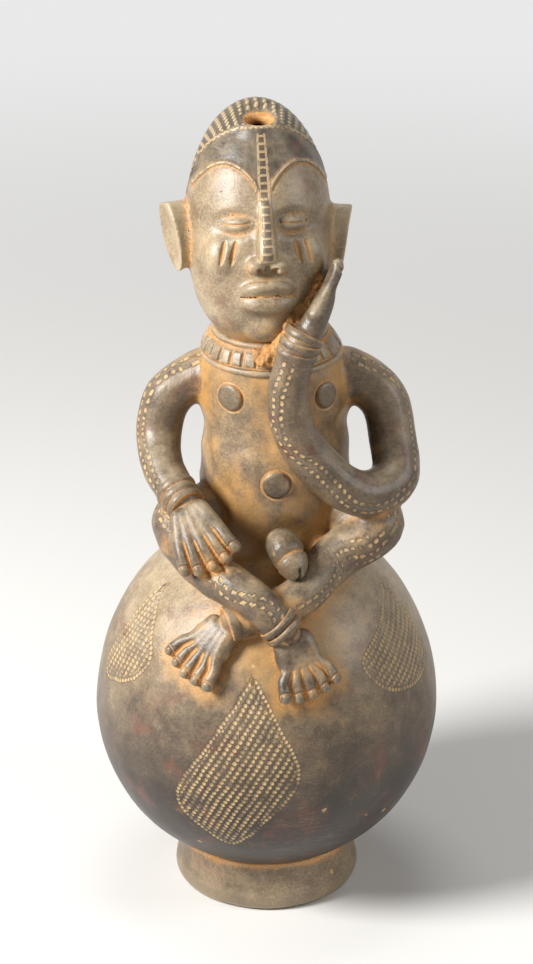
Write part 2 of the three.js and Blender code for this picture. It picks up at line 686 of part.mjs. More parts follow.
// The lump of soft clay that fixes the raised wrist to the collar
function wristClay() {
  const lump = new THREE.SphereGeometry(1, 10, 6);
  lump.scale(...WRIST_CLAY_SIZE);
  lump.translate(TORSO_SHIFT, -chestFront - 2.5, collarLevels[1] + 2);
  return toSolid(lump);
}

// Assembly: each later piece is cut back to its clearance from the pieces that it is luted onto
const jar = new THREE.Group();
const add = (name, solid, color = CLAY) => jar.add(toMesh(name, solid, color));

const globeSeat = globeForm(LUTING_GAP);
const torsoSeat = torsoForm(LUTING_GAP);
const headSeat = headForm(LUTING_GAP);
const rightArmSeat = rightArmForm(LUTING_GAP);
const leftArmSeat = leftArmForm(LUTING_GAP);
const rightLegSeat = rightLegForm(LUTING_GAP);
const leftLegSeat = leftLegForm(LUTING_GAP);
const cordSpacing = COLLAR_CORD_RADIUS + LUTING_GAP;
const collarSeat = collarCord(collarLevels[0] - cordSpacing, LUTING_GAP);

add('foot_ring', footRing(), BROWN_CLAY);
add('globe', globeShell());
add('torso', cutBy(torsoForm(0), torsoHollow(), globeSeat), BROWN_CLAY);
add('head', headShell());
add('right_ear', ear(-1, EAR_DROPS.right), BROWN_CLAY);
add('left_ear', ear(1, EAR_DROPS.left), BROWN_CLAY);
add('nose', nose());
add('upper_lip', cutBy(lip(1.6, MOUTH_LEVEL + 1.6, 2.4), headSeat));
add('lower_lip', cutBy(lip(-1.6, MOUTH_LEVEL - 2.8, 2.6), headSeat));
add('right_eyelids', eyelids(-1));
add('left_eyelids', eyelids(1));
add('right_arm', cutBy(rightArmForm(0), torsoSeat, collarSeat));
add('left_arm', cutBy(leftArmForm(0), torsoSeat, headSeat, collarSeat));
add('right_leg', cutBy(rightLegForm(0), globeSeat, torsoSeat, rightArmSeat));
add('left_leg', cutBy(leftLegForm(0), globeSeat, torsoSeat, leftArmSeat, rightLegSeat));
add('right_hand', cutBy(handForm(rightHandPose), rightArmSeat, rightLegSeat, leftLegSeat, torsoSeat));
add('left_hand', cutBy(handForm(leftHandPose), leftArmSeat, headSeat, torsoSeat));
add('right_foot', cutBy(footForm(rightFootPose), rightLegSeat, leftLegSeat, globeSeat));
add('left_foot', cutBy(footForm(leftFootPose), rightLegSeat, leftLegSeat, globeSeat));
add('collar_band', cutBy(collarBand(), headSeat, leftArmSeat));
add('collar_upper_cord', cutBy(collarCord(collarLevels[1] + cordSpacing), headSeat, leftArmSeat));
add('collar_lower_cord', collarCord(collarLevels[0] - cordSpacing));
add('right_breast', cutBy(disc(BREAST_TURNS.right, SHOULDER_LINE + BREAST_LIFT), torsoSeat, rightArmSeat));
add('left_breast', cutBy(disc(BREAST_TURNS.left, SHOULDER_LINE + BREAST_LIFT), torsoSeat, leftArmSeat));
add('navel', cutBy(disc(1, SHOULDER_LINE - NAVEL_DROP), torsoSeat));
add('phallus', cutBy(member(), torsoSeat, rightLegSeat, leftLegSeat));
const overCollar = torsoForm(2 * COLLAR_CORD_RADIUS + COLLAR_PAD_RISE);
const braceletSeats = limbCords(leftArmRoute, armThickness, { ...braceletSizes, grow: LUTING_GAP });
add('wrist_clay', cutBy(wristClay(), overCollar, leftArmSeat, headSeat, ...braceletSeats), OCHRE_CLAY);
limbCords(rightArmRoute, armThickness, braceletSizes).forEach((cord, i) => {
  add(`right_bracelet_${i + 1}`, cutBy(cord, rightLegSeat));
});
limbCords(leftArmRoute, armThickness, braceletSizes).forEach((cord, i) => {
  add(`left_bracelet_${i + 1}`, cutBy(cord, headSeat, ...braceletSeats.slice(0, i)));
});
limbCords(rightLegRoute, legThickness, ankletSizes).forEach((cord, i) => {
  add(`right_anklet_${i + 1}`, cutBy(cord, leftLegSeat, globeSeat));
});
const leftAnkletSizes = { ...ankletSizes, count: 1, fromEnd: LEFT_ANKLET_SET_BACK };
limbCords(leftLegRoute, legThickness, leftAnkletSizes).forEach((cord, i) => {
  add(`left_anklet_${i + 1}`, cutBy(cord, rightLegSeat, globeSeat));
});

export default jar;
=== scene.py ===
import math

import bmesh
import bpy
import numpy as np
from mathutils import Matrix, Vector


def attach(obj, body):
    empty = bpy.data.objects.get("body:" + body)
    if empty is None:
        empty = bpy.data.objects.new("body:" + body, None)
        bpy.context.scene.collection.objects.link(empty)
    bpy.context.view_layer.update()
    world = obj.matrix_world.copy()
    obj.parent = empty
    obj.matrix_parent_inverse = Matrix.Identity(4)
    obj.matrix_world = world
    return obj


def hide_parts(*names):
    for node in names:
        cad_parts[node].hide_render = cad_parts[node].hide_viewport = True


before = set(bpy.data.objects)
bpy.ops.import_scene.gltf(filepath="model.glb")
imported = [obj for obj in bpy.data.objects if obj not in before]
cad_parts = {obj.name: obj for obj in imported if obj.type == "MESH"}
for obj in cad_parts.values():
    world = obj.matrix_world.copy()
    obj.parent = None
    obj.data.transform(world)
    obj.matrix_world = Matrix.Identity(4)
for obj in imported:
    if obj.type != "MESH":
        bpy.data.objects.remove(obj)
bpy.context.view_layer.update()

# Foot ring: a low flared ring of the same clay, rolled, luted under the globe and drawn down to a flat edge.
# It is burnished outside and left rough underneath, with a few chips on its lower rim.
MM = 0.001
GLOBE_RADIUS, GLOBE_CENTRE, GLOBE_DEPTH, GLOBE_RISE = 80.0, 92.6, 78.4, 92.0
FOOT_HOLLOW, FULL_TURN = 27.0, 2 * math.pi


def srgb(red, green, blue):
    """A colour as it looks, on the 0 to 255 scale, turned into the values that the shader takes."""
    return (*((v / 255 / 12.92 if v < 10.3 else ((v / 255 + 0.055) / 1.055) ** 2.4) for v in (red, green, blue)), 1)


class Value:
    """A shader node's output, which takes part in sums as a number does."""

    def __init__(self, socket):
        self.socket, self.tree = socket, socket.id_data

    def maths(self, operation, other=0.0, clamp=False):
        return take(self.tree, "Math", 0, {0: self, 1: other}, operation=operation, use_clamp=clamp)

    def __add__(self, other):
        return self.maths("ADD", other)

    def __sub__(self, other):
        return self.maths("SUBTRACT", other)

    def __mul__(self, other):
        return self.maths("MULTIPLY", other)

    def __truediv__(self, other):
        return self.maths("DIVIDE", other)

    def times(self, other):
        """A product that is kept between 0 and 1."""
        return self.maths("MULTIPLY", other, True)


def put(tree, kind, inputs=None, **settings):
    """Adds one shader node, with its settings, its values and its links."""
    made = tree.nodes.new("ShaderNode" + kind)
    for key, value in settings.items():
        setattr(made, key, value)
    for key, value in (inputs or {}).items():
        if isinstance(value, Value):
            tree.links.new(value.socket, made.inputs[key])
        else:
            made.inputs[key].default_value = value
    return made


def take(tree, kind, output, inputs=None, **settings):
    return Value(put(tree, kind, inputs, **settings).outputs[output])


def send(out, **values):
    for socket, value in values.items():
        value.tree.links.new(value.socket, out.inputs[socket])


def split(vector):
    return map(Value, put(vector.tree, "SeparateXYZ", {0: vector}).outputs)


def between(value, low, high):
    """A smooth mask that is 0 at low and 1 at high."""
    return take(value.tree, "MapRange", "Result", {"Value": value, "From Min": low, "From Max": high},
                interpolation_type="SMOOTHSTEP")


def blend(share, below, above):
    return take(share.tree, "Mix", 2, {0: share, 6: below, 7: above}, data_type="RGBA")


def new_group(name, vectors, floats, gives):
    """A node group, the values that it takes, and its output node."""
    group = bpy.data.node_groups.new(name, "ShaderNodeTree")
    for side, kind, sockets in (("INPUT", "Vector", vectors), ("INPUT", "Float", floats), ("OUTPUT", "Float", gives)):
        for socket in sockets.split():
            kind_of_socket = "NodeSocket" + ("Color" if socket == "Color" else kind)
            group.interface.new_socket(socket, in_out=side, socket_type=kind_of_socket)
    given = group.nodes.new("NodeGroupInput").outputs[:len(vectors.split() + floats.split())]
    return group, map(Value, given), group.nodes.new("NodeGroupOutput")


def weathered_clay_group():
    """Burnished clay with fire clouds, dust and painted light on upward faces, red rubbing, worn edges with a painted
    highlight, painted shade in small pits, and ochre earth in its hollows and joints.
    """
    group, given, out = new_group("weathered_clay", "Place", "Hollows Joints Wear Brightness Dust Red Earth Stain",
                                  "Color Roughness Height")
    place, hollows, joints, wear, brightness, dust, red, earth, stain = given

    def cloud(scale, detail=3.0, rough=0.55):
        return take(group, "TexNoise", "Fac", {"Vector": place, "Scale": scale, "Detail": detail, "Roughness": rough})

    def cells(scale):
        return take(group, "TexVoronoi", "Distance", {"Vector": place, "Scale": scale, "Randomness": 1.0})

    def drawn_out(scale, detail, turn=(0, 0, 0)):
        """Noise that is stretched along one way."""
        drawn = take(group, "Mapping", 0, {"Vector": place, "Rotation": turn, "Scale": scale})
        return take(group, "TexNoise", "Fac", {"Vector": drawn, "Scale": 1.0, "Detail": detail})

    clouds, mottle, grain, fine = cloud(20, 2), cloud(95, 6, 0.66), cloud(900, 4, 0.6), cloud(2600, 2)
    tone = clouds * 0.32 + mottle * 0.34 + grain * 0.34 + (brightness - 0.5) * 0.6
    ramp = put(group, "ValToRGB", {"Fac": tone})
    stops = ramp.color_ramp.elements
    stops[0].position, stops[0].color = 0.26, srgb(46, 36, 27)
    stops[1].position, stops[1].color = 0.8, srgb(182, 162, 130)
    stops.new(0.42).color = srgb(80, 66, 51)
    stops.new(0.58).color = srgb(122, 103, 79)
    colour = Value(ramp.outputs["Color"])

    # Red-brown rubbing, pale dust and painted light on what faces up, and handled edges painted lighter, part wear and
    # part painted highlight
    colour = blend(between(cloud(46, 4, 0.7), 0.53, 0.67).times(red) * 0.6, colour, srgb(104, 56, 42))
    *_, facing = split(take(group, "NewGeometry", "Normal"))
    dust_and_top_light_mask = (between(facing, -0.15, 0.9) * between(mottle, 0.3, 0.75)).times(dust)
    colour = blend(dust_and_top_light_mask, colour, srgb(188, 170, 139))
    # Proud edges painted lighter: part wear, part painted highlight
    colour = blend(wear.times(0.5), colour, srgb(176, 160, 134))

    # Scratches: thin pale and dark lines in two directions
    for turn, thick, shade in (((0.4, 0.9, 0.2), 0.012, srgb(190, 170, 140)), ((1.2, 0.1, 0.9), 0.01, srgb(48, 40, 34))):
        off = (drawn_out((34, 34, 400), 2.0, turn) - 0.5).maths("ABSOLUTE")
        colour = blend(between(off, thick, 0.0) * between(clouds, 0.42, 0.6) * 0.2, colour, shade)

    # Earth: a thin yellow film round the joints, and a fill in hollows and corners that thins out over the grain
    film = between(stain + (mottle - 0.5) * 1.6, 0.12, 1.0).times(earth)
    colour = blend(film * 0.68, colour, srgb(190, 141, 76))
    deposit = between(hollows + joints * 0.95 + (mottle - 0.52) * 1.3, 0.05, 1.0).times(earth)
    ochre = blend(between(grain, 0.38, 0.64), srgb(178, 122, 62), srgb(208, 154, 90))
    colour = blend(deposit * 0.88, colour, ochre)

    # Small pale chips, far apart, and small pits darkened with painted shade
    chip = between(cells(62) + (grain - 0.5) * 0.22, 0.085, 0.05) * between(cloud(31, 2), 0.5, 0.54)
    colour = blend(chip * 0.75, colour, srgb(204, 166, 114))
    shaded_pits = between(cells(520), 0.17, 0.06) * between(cloud(70, 3), 0.52, 0.66)
    colour = blend(shaded_pits * 0.6, colour, srgb(66, 50, 38))
    rough = (grain * 0.17 + 0.29 + deposit * 0.36 + dust_and_top_light_mask * 0.16).maths("ADD", shaded_pits * 0.2, True)

    # Burnishing strokes, grain and pits as relief, in parts of a millimetre
    strokes = drawn_out((160, 160, 60), 3.0)
    height = strokes * 0.2 + grain * 0.24 + fine * 0.05 + grain * deposit * 0.3 - shaded_pits * 0.35
    send(out, Color=colour, Roughness=rough, Height=height)
    return group


def punched_dots_group():
    """Rows of round punch marks, from millimetres along and across the rows, each with a ring of painted shade round
    it.
    """
    group, given, out = new_group("punched_dots", "Rows Place", "Pitch Spacing Size", "Marks Bowl Rim")
    rows, place, pitch, spacing, size = given
    unsteady = take(group, "TexNoise", "Color", {"Vector": place, "Scale": 130.0, "Detail": 1.0})
    for operation, other in (("SUBTRACT", (0.5, 0.5, 0.5)), ("MULTIPLY", (1.5, 1.5, 0)), ("ADD", rows)):
        unsteady = take(group, "VectorMath", 0, {0: unsteady, 1: other}, operation=operation)
    along, across, shown = split(unsteady)
    across = across / spacing
    row = across.maths("ROUND")
    beside = (across - row) * spacing
    shifted = along / pitch + row * 0.37
    ahead = (shifted - shifted.maths("ROUND")) * pitch
    away = (beside * beside + ahead * ahead).maths("SQRT")
    inside = between(away, size, size * 0.7)
    bowl = between(away, size * 1.35, 0.0)
    # The rim is a ring of painted shade round each mark
    rim = between(away, size * 1.6, size * 1.1).maths("SUBTRACT", inside, True)
    send(out, Marks=inside * shown, Bowl=bowl * shown, Rim=rim * shown)
    return group


def strands_group():
    """Rows of twisted strands: a crest along each row, nicked across at a slant."""
    group, (rows, spacing, pitch), out = new_group("strands", "Rows", "Spacing Pitch", "Crest Relief")
    along, across, shown = split(rows)
    turn = across * FULL_TURN / spacing
    crest = (turn.maths("COSINE") + 1.0) * 0.5
    nick = (along * FULL_TURN / pitch + turn * 0.6).maths("SINE") * 0.5 + 0.5
    twisted = crest * (nick * 0.65 + 0.35)
    send(out, Crest=between(twisted, 0.24, 0.62) * shown, Relief=twisted * shown)
    return group


def ladder_group():
    """A band of two raised lines with rungs between them, from the share of its half width and the way along it."""
    group, (band, pitch), out = new_group("ladder", "Band", "Pitch", "Lines Cells")
    across, along, shown = split(band)
    side, step = across.maths("ABSOLUTE"), along / pitch
    rail = between((side - 1.0).maths("ABSOLUTE"), 0.36, 0.22)
    off = (step - step.maths("ROUND")).maths("ABSOLUTE")
    rung = between(off, 0.21, 0.13) * between(side, 1.05, 0.95)
    lines = rail.maths("MAXIMUM", rung) * shown
    cells = between(side, 0.95, 0.8) * shown
    send(out, Lines=lines, Cells=cells.maths("SUBTRACT", lines, True))
    return group


weathered, punched, twisted_rows, ladder = weathered_clay_group(), punched_dots_group(), strands_group(), ladder_group()


def clay_material(name, brightness, dust, red, earth, relief=0.55, strands=None, band=None, **punches):
    """Burnished clay. Strands are the spacing and pitch of scored hair, band is the step of the ladder's rungs, and
    punches are the (pitch, spacing, size, depth) of punched rows, all in millimetres."""
    made = bpy.data.materials.new(name)
    made.use_nodes = True
    tree = made.node_tree
    tree.nodes.clear()
    place = take(tree, "TexCoord", "Object")

    def own(attribute, output="Fac"):
        return take(tree, "Attribute", output, attribute_name=attribute)

    def noise(scale):
        return take(tree, "TexNoise", "Fac", {"Vector": place, "Scale": scale, "Detail": 4.0})

    def outputs(group, **inputs):
        return map(Value, put(tree, "Group", inputs, node_tree=group).outputs)

    colour, rough, height = outputs(
        weathered, Place=place, Hollows=own("hollows"), Joints=own("joints"), Wear=own("wear"), Stain=own("stain"),
        Brightness=own("shade") + brightness, Dust=dust, Red=red, Earth=earth)
    height = height * (relief * MM)
    chipped = noise(420.0)
    proud = between(own("raised"), 2.2, 2.6) * between(chipped, 0.36, 0.52)
    cut = between(own("grooved"), 2.2, 2.75) * between(chipped, 0.25, 0.42)
    if band:
        lines, cells = outputs(ladder, Band=own("band", "Vector"), Pitch=band)
        colour = blend(cells * 0.6, colour, srgb(62, 48, 38))
        proud = proud.maths("MAXIMUM", lines * between(chipped, 0.3, 0.45))
    colour = blend(proud * 0.62, colour, srgb(194, 163, 120))
    colour = blend(cut * 0.72, colour, srgb(198, 146, 88))
    height = height + proud * (0.28 * MM) - cut * (0.2 * MM)
    if strands:
        rows = own("strands", "Vector")
        crest, twist = outputs(twisted_rows, Rows=rows, Spacing=strands[0], Pitch=strands[1])
        *_, shown = split(rows)
        colour = blend(shown * 0.7, colour, srgb(74, 62, 48))
        colour = blend(crest * 0.85, colour, srgb(186, 165, 130))
        height = height + twist * (0.5 * MM)
    for attribute, (pitch, spacing, size, depth) in punches.items():
        marks, bowl, rim = outputs(punched, Rows=own(attribute, "Vector"), Pitch=pitch, Spacing=spacing, Size=size,
                                   Place=place)
        filled = marks * between(noise(150.0), 0.26, 0.6)
        # Painted shade: a dark ring round each punch mark
        colour = blend(rim * 0.42, colour, srgb(60, 45, 32))
        colour = blend(filled * 0.7, colour, srgb(204, 172, 122))
        rough = rough.maths("ADD", filled * 0.25, True)
        height = height - bowl * (depth * MM)
    bump = take(tree, "Bump", "Normal", {"Height": height, "Distance": 1.0, "Strength": 1.0})
    shader = take(tree, "BsdfPrincipled", "BSDF", {"Base Color": colour, "Roughness": rough, "Normal": bump})
    put(tree, "OutputMaterial", {"Surface": shader}).is_active_output = True
    return made


def mesh_of(bm, name):
    mesh = bpy.data.meshes.new(name)
    bm.to_mesh(mesh)
    bm.free()
    return mesh


def spun(profile, steps, name):
    """A form turned about the pot's axis from (radius, height) pairs in millimetres. A closed profile closes the wall."""
    bm = bmesh.new()
    closed = profile[0] == profile[-1]
    rim = [bm.verts.new((radius * MM, 0, height * MM)) for radius, height in (profile[:-1] if closed else profile)]
    edges = [bm.edges.new(pair) for pair in zip(rim, rim[1:])]
    if closed:
        edges.append(bm.edges.new((rim[-1], rim[0])))
    bmesh.ops.spin(bm, geom=rim + edges, axis=(0, 0, 1), cent=(0, 0, 0), angle=FULL_TURN, steps=steps, use_merge=True)
    bmesh.ops.remove_doubles(bm, verts=bm.verts, dist=1e-6)
    bmesh.ops.recalc_face_normals(bm, faces=bm.faces)
    return mesh_of(bm, name)


def read(items, what, width=1, kind=float):
    flat = np.empty(len(items) * width, dtype=kind)
    items.foreach_get(what, flat)
    return flat.reshape(-1, width) if width > 1 else flat


def places(mesh):
    """A mesh's points, in millimetres, as an array."""
    return read(mesh.vertices, "co", 3) / MM


def outwards(mesh):
    return read(mesh.vertex_normals, "vector", 3)


def move_to(mesh, points):
    mesh.vertices.foreach_set("co", (points * MM).ravel())
    mesh.update()


def ripple(points, wavelength, seed):
    """Smooth unevenness between about -1 and 1, with a wavelength in millimetres."""
    source = np.random.default_rng(seed)
    total = np.zeros(len(points))
    for _ in range(9):
        direction = source.normal(size=3)
        direction *= FULL_TURN / wavelength / np.linalg.norm(direction) * source.uniform(0.6, 1.5)
        total += np.sin(points @ direction + source.uniform(0, 6.28))
    return total / 4.5


def press(mesh, amount, wavelength, seed):
    """The unevenness that hands and a pebble leave on a surface."""
    points = places(mesh)
    move_to(mesh, points + outwards(mesh) * (ripple(points, wavelength, seed) * amount)[:, None])


def give(mesh, name, values):
    """Stores one value, or one row of three, for each point."""
    values = np.asarray(values, dtype=float)
    kind, what = ("FLOAT", "value") if values.ndim == 1 else ("FLOAT_VECTOR", "vector")
    layer = mesh.attributes.get(name) or mesh.attributes.new(name, kind, "POINT")
    layer.data.foreach_set(what, values.ravel())


def averager(one, two, size):
    """Makes a function that gives each point the mean of its neighbours along the edges."""
    count = np.maximum(np.bincount(one, minlength=size) + np.bincount(two, minlength=size), 1)
    return lambda points: np.stack([(np.bincount(one, points[two, axis], size) + np.bincount(two, points[one, axis], size))
                                    / count for axis in range(3)], 1)


def sunk(mesh, passes):
    """How deep each point lies below its relaxed surroundings, in millimetres."""
    points = start = places(mesh)
    average = averager(*read(mesh.edges, "vertices", 2, int).T, len(start))
    for _ in range(passes):
        points = 0.5 * points + 0.5 * average(points)
    return ((points - start) * outwards(mesh)).sum(1)


def find_hollows(mesh, depth=0.22, passes=7, joints=0.0):
    """Marks the hollows, where earth stays, and the proud edges, which are rubbed and also get a painted highlight."""
    rise = sunk(mesh, passes)
    give(mesh, "hollows", np.clip(rise / depth, 0, 1))
    give(mesh, "wear", np.clip(-rise / depth - 0.35, 0, 1))
    give(mesh, "joints", joints + np.zeros(len(rise)))


def finish(mesh, name, material):
    """Puts a finished piece in the scene in place of its solid."""
    mesh.name = "fired_" + name
    if not mesh.has_custom_normals:
        mesh.shade_smooth()
    mesh.materials.clear()
    mesh.materials.append(material)
    piece = bpy.data.objects.new("fired_" + name, mesh)
    bpy.context.scene.collection.objects.link(piece)
    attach(piece, "root")
    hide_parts(name)


def run_along(line):
    """The distance along a line at each of its points."""
    return np.concatenate([[0], np.cumsum(np.linalg.norm(np.diff(line, axis=0), axis=1))])


def read_off(where, scale, rows):
    """Rows of values read off at other places on their scale."""
    return np.stack([np.interp(where, scale, column) for column in rows.T], 1)


def soft_line(points, count):
    """A smooth line through a few points, evenly stepped."""
    points = np.array(points, dtype=float)
    padded = np.vstack([2 * points[0] - points[1], points, 2 * points[-1] - points[-2]])
    out = []
    for a, b, c, d in zip(padded, padded[1:], padded[2:], padded[3:]):
        knots = np.cumsum([0] + [max(np.linalg.norm(q - p), 1e-6) ** 0.5 for p, q in ((a, b), (b, c), (c, d))])
        for t in np.linspace(knots[1], knots[2], 24, endpoint=False):
            mix = lambda p, q, i, j: p * (knots[j] - t) / (knots[j] - knots[i]) + q * (t - knots[i]) / (knots[j] - knots[i])
            ab, bc, cd = mix(a, b, 0, 1), mix(b, c, 1, 2), mix(c, d, 2, 3)
            out.append(mix(mix(ab, bc, 0, 2), mix(bc, cd, 1, 3), 1, 2))
    out = np.array(out + [points[-1]])
    run = run_along(out)
    return read_off(np.linspace(0, run[-1], count), run, out)


outer = soft_line([(38.6, 0), (41.4, 1.2), (43.0, 4.2), (43.3, 8), (41.7, 15), (41.3, 21), (42.2, 25.9)], 26)
globe_underside = GLOBE_CENTRE - GLOBE_DEPTH * math.sqrt(1 - (FOOT_HOLLOW / GLOBE_RADIUS) ** 2)
inner = [(34.5, 21.6), (FOOT_HOLLOW, globe_underside + 0.2), (FOOT_HOLLOW, 8), (27.3, 2.4), (29.2, 0.3), (31, 0), (36, 0)]
foot = spun([tuple(p) for p in outer] + inner + [tuple(outer[0])], 144, "foot_ring")
points = places(foot)
low = np.clip(1 - points[:, 2] / 3.5, 0, 1) * (np.hypot(points[:, 0], points[:, 1]) > 37)
chips = np.clip(ripple(points, 13, 4) - 0.45, 0, 1) * low * 1.6
points[:, :2] *= (1 - chips / 40)[:, None]
points[:, 2] = np.maximum(points[:, 2], chips * 0.8)
flat_edge = points[:, 2] < 0.05
move_to(foot, points)
press(foot, 0.22, 26, 1)
points = places(foot)
points[flat_edge, 2] = 0
points[:, 2] = np.maximum(points[:, 2], 0)
move_to(foot, points)
find_hollows(foot, joints=np.maximum(np.clip((points[:, 2] - 20) / 5, 0, 1), chips * 0.8))
finish(foot, "foot_ring", clay_material("foot_clay", brightness=0.58, dust=0.6, red=0.3, earth=0.9))

# Globe: the round vessel body, built up from coils, scraped thin and burnished with a pebble before firing.
# Three teardrops of punched dots, filled with pale clay, lie on its shoulder: one in front and one on each side.
GLOBE_WALL, GLOBE_MOUTH, GLOBE_GIRTH = 8.0, 19.0, 76.0
DROPS = [
    # (tip, left, low, right) as (millimetres round the globe from the front, height)
    ((-6.5, 140.0), (-41.5, 76.0), (-18.5, 51.5), (14.0, 94.0)),
    ((-86.0, 163.0), (-100.0, 121.0), (-87.0, 119.0), (-65.0, 136.0)),
    ((99.0, 160.0), (52.0, 138.0), (73.0, 120.0), (104.0, 124.0)),
]


def held(value):
    return np.clip(value, 0, 1)


def soft_step(value):
    value = held(value)
    return value * value * (3 - 2 * value)


def fading(value, width, power=2):
    """1 at zero, falling off to nothing past a width."""
    return np.exp(-((value / width) ** power))


def unit(way):
    """A direction, or rows of directions, with a length of one."""
    way = np.asarray(way, dtype=float)
    return way / (np.linalg.norm(way) if way.ndim == 1 else np.linalg.norm(way, axis=1)[:, None])


def globe_arc(inset, top_radius, count):
    line = []
    for angle in np.linspace(-math.pi / 2, math.acos(top_radius / (GLOBE_RADIUS - inset)), count):
        rise = GLOBE_RISE if angle > 0 else GLOBE_DEPTH
        line.append(((GLOBE_RADIUS - inset) * max(math.cos(angle), 0.0), GLOBE_CENTRE + (rise - inset) * math.sin(angle)))
    return line


def teardrop(tip, left, low, right):
    """The outline of a drop hanging from its tip, as a closed line of (turn, height) points in millimetres."""
    def halfway(one, two, turn, rise=0):
        return (one[0] + two[0]) / 2 + turn, (one[1] + two[1]) / 2 + rise

    return soft_line([tip, halfway(tip, left, -1.5), left, halfway(left, low, -2.5, -3), low,
                      halfway(right, low, 2.5, -3), right, halfway(tip, right, 1.5, 1), tip], 160)


globe = spun([(0.0, globe_arc(0, 0, 4)[0][1])] + globe_arc(0, GLOBE_MOUTH, 200)[1:]
             + globe_arc(GLOBE_WALL, GLOBE_MOUTH, 40)[::-1], 320, "globe")
press(globe, 0.32, 46, 2)
press(globe, 0.1, 17, 3)
points = places(globe)
x, y, height = points.T
rise = np.where(height > GLOBE_CENTRE, GLOBE_RISE, GLOBE_DEPTH)
globe_outside = np.hypot(np.hypot(x, y) / GLOBE_RADIUS, (height - GLOBE_CENTRE) / rise) > 0.95
spread = np.arctan2(x, -y) * GLOBE_GIRTH
rows, edge_line = np.zeros((2, len(points), 3))
edge_line[:, 1] = 50    # far from any line
for tip, left, low, right in DROPS:
    ring = teardrop(tip, left, low, right)
    near = globe_outside & (np.abs(spread - ring[:, 0].mean()) < 60)
    index = np.nonzero(near & (height > ring[:, 1].min() - 8) & (height < ring[:, 1].max() + 8))[0]
    here = np.stack([spread[index], height[index]], 1)
    gap = here[:, None, :] - ring[None, :, :]
    nearest = (gap ** 2).sum(2).argmin(1)
    tangent = unit(np.roll(ring, -1, 0) - np.roll(ring, 1, 0))[nearest]
    beside = gap[np.arange(len(index)), nearest]
    distance = np.linalg.norm(beside, axis=1)
    along = run_along(ring)[nearest] + (beside * tangent).sum(1)
    across = beside[:, 0] * tangent[:, 1] - beside[:, 1] * tangent[:, 0]
    # A place is inside the drop where a level line from it crosses the outline an odd number of times
    following, level = np.roll(ring, -1, 0), here[:, 1:2]
    climb = np.where(following[:, 1] == ring[:, 1], 1e-9, following[:, 1] - ring[:, 1])
    crossed = ((ring[:, 1] > level) != (following[:, 1] > level)) & (
        here[:, :1] < (following[:, 0] - ring[:, 0]) * (level - ring[:, 1]) / climb + ring[:, 0])
    inside = (crossed.sum(1) % 2 == 1) & (distance > 1.7)
    offset, lean = here - np.array(tip), unit(np.array(left) - np.array(tip))
    rows[index] = np.stack([offset @ lean, offset[:, 0] * lean[1] - offset[:, 1] * lean[0], inside], 1)
    close = (np.abs(across) < 3) & (distance < 3) & (offset @ unit(ring.mean(0) - ring[0]) > -0.3)
    edge_line[index[close]] = np.stack([along, across, np.ones(len(index))], 1)[close]
give(globe, "dots", rows)
give(globe, "lines", edge_line)
foot_joint = held(1 - (height - 26) / 3.2) * globe_outside
seat_joint = fading(np.abs(np.hypot(x - 4, y) - 35), 6, 1) * (height > 150)
find_hollows(globe)
# Painted light and shade: the globe is painted lighter on its top and darker towards its bottom
give(globe, "shade", 0.4 * soft_step((height - 90) / 80) - 0.7 * soft_step((106 - height) / 84))
globe_clay = clay_material("globe_clay", brightness=0.38, dust=0.45, red=0.9, earth=0.95,
                           dots=(2.35, 3.15, 1.12, 0.5), lines=(2.25, 90.0, 1.05, 0.5))
finish(globe, "globe", globe_clay)

# Figure's body: a hollow torso with arms and legs rolled from clay and bent to place, and hands and feet pinched flat
# with their digits drawn out. All are luted to each other and to the globe with soft clay wiped into the corners.
SEAT, SHOULDER_LINE, NECK_BASE, NECK_TOP, TORSO_WALL = 184.6, 246.6, 284.6, 292.6, 7.0
GRAIN, NO_MARK = 0.6, 9.0
# Place and relative size of the discs on the torso
DISCS = {"right_breast": ((-16.4, -24.4, 257.1), 1.0), "left_breast": ((26.8, -21.3, 257.1), 0.94),
         "navel": ((4.6, -32.3, 217.6), 1.0)}
# (places along the limb, radii along it, number of steps)
LIMBS = {
    "right_arm": ([(-16.4, 3, 258.7), (-29.9, 3, 256.8), (-44, 0.9, 247.5), (-49, -3, 230.8), (-47, -16, 219.6),
                   (-40, -29.9, 212.2), (-34, -38.9, 207.6)], (13, 11.2, 11, 10.2, 9.25, 8.5), 90),
    "left_arm": ([(24.4, 3, 258.7), (37.9, 3, 256.8), (52, 0.9, 247.5), (57, -5, 230.8), (58, -18, 214.6),
                  (42, -32.9, 213.6), (24.9, -37.9, 227.6), (13, -39.9, 245.6), (9.4, -40.4, 265.6),
                  (14.8, -40.9, 289.6), (18.9, -38.9, 297.6)], (13, 11.2, 11, 10.6, 10.2, 9.25, 8.5), 150),
    "right_leg": ([(-11.3, 0, 193.6), (-28.3, -14.1, 196.6), (-40, -20, 195), (-27.6, -44.1, 182.8),
                   (-6.3, -60.3, 174.1), (12, -64.7, 156.6)], (12, 12.4, 12, 10.3, 9.2, 8.4), 100),
    "left_leg": ([(19.3, 0, 193.6), (36.3, -14.1, 196.6), (51, -23.9, 195), (30.1, -33.4, 180.8),
                  (12.6, -50.7, 169), (-1.9, -53.8, 164.7), (-20, -59.8, 160.1)], (12, 12.4, 12, 10.3, 9.2, 8.4), 100),
}
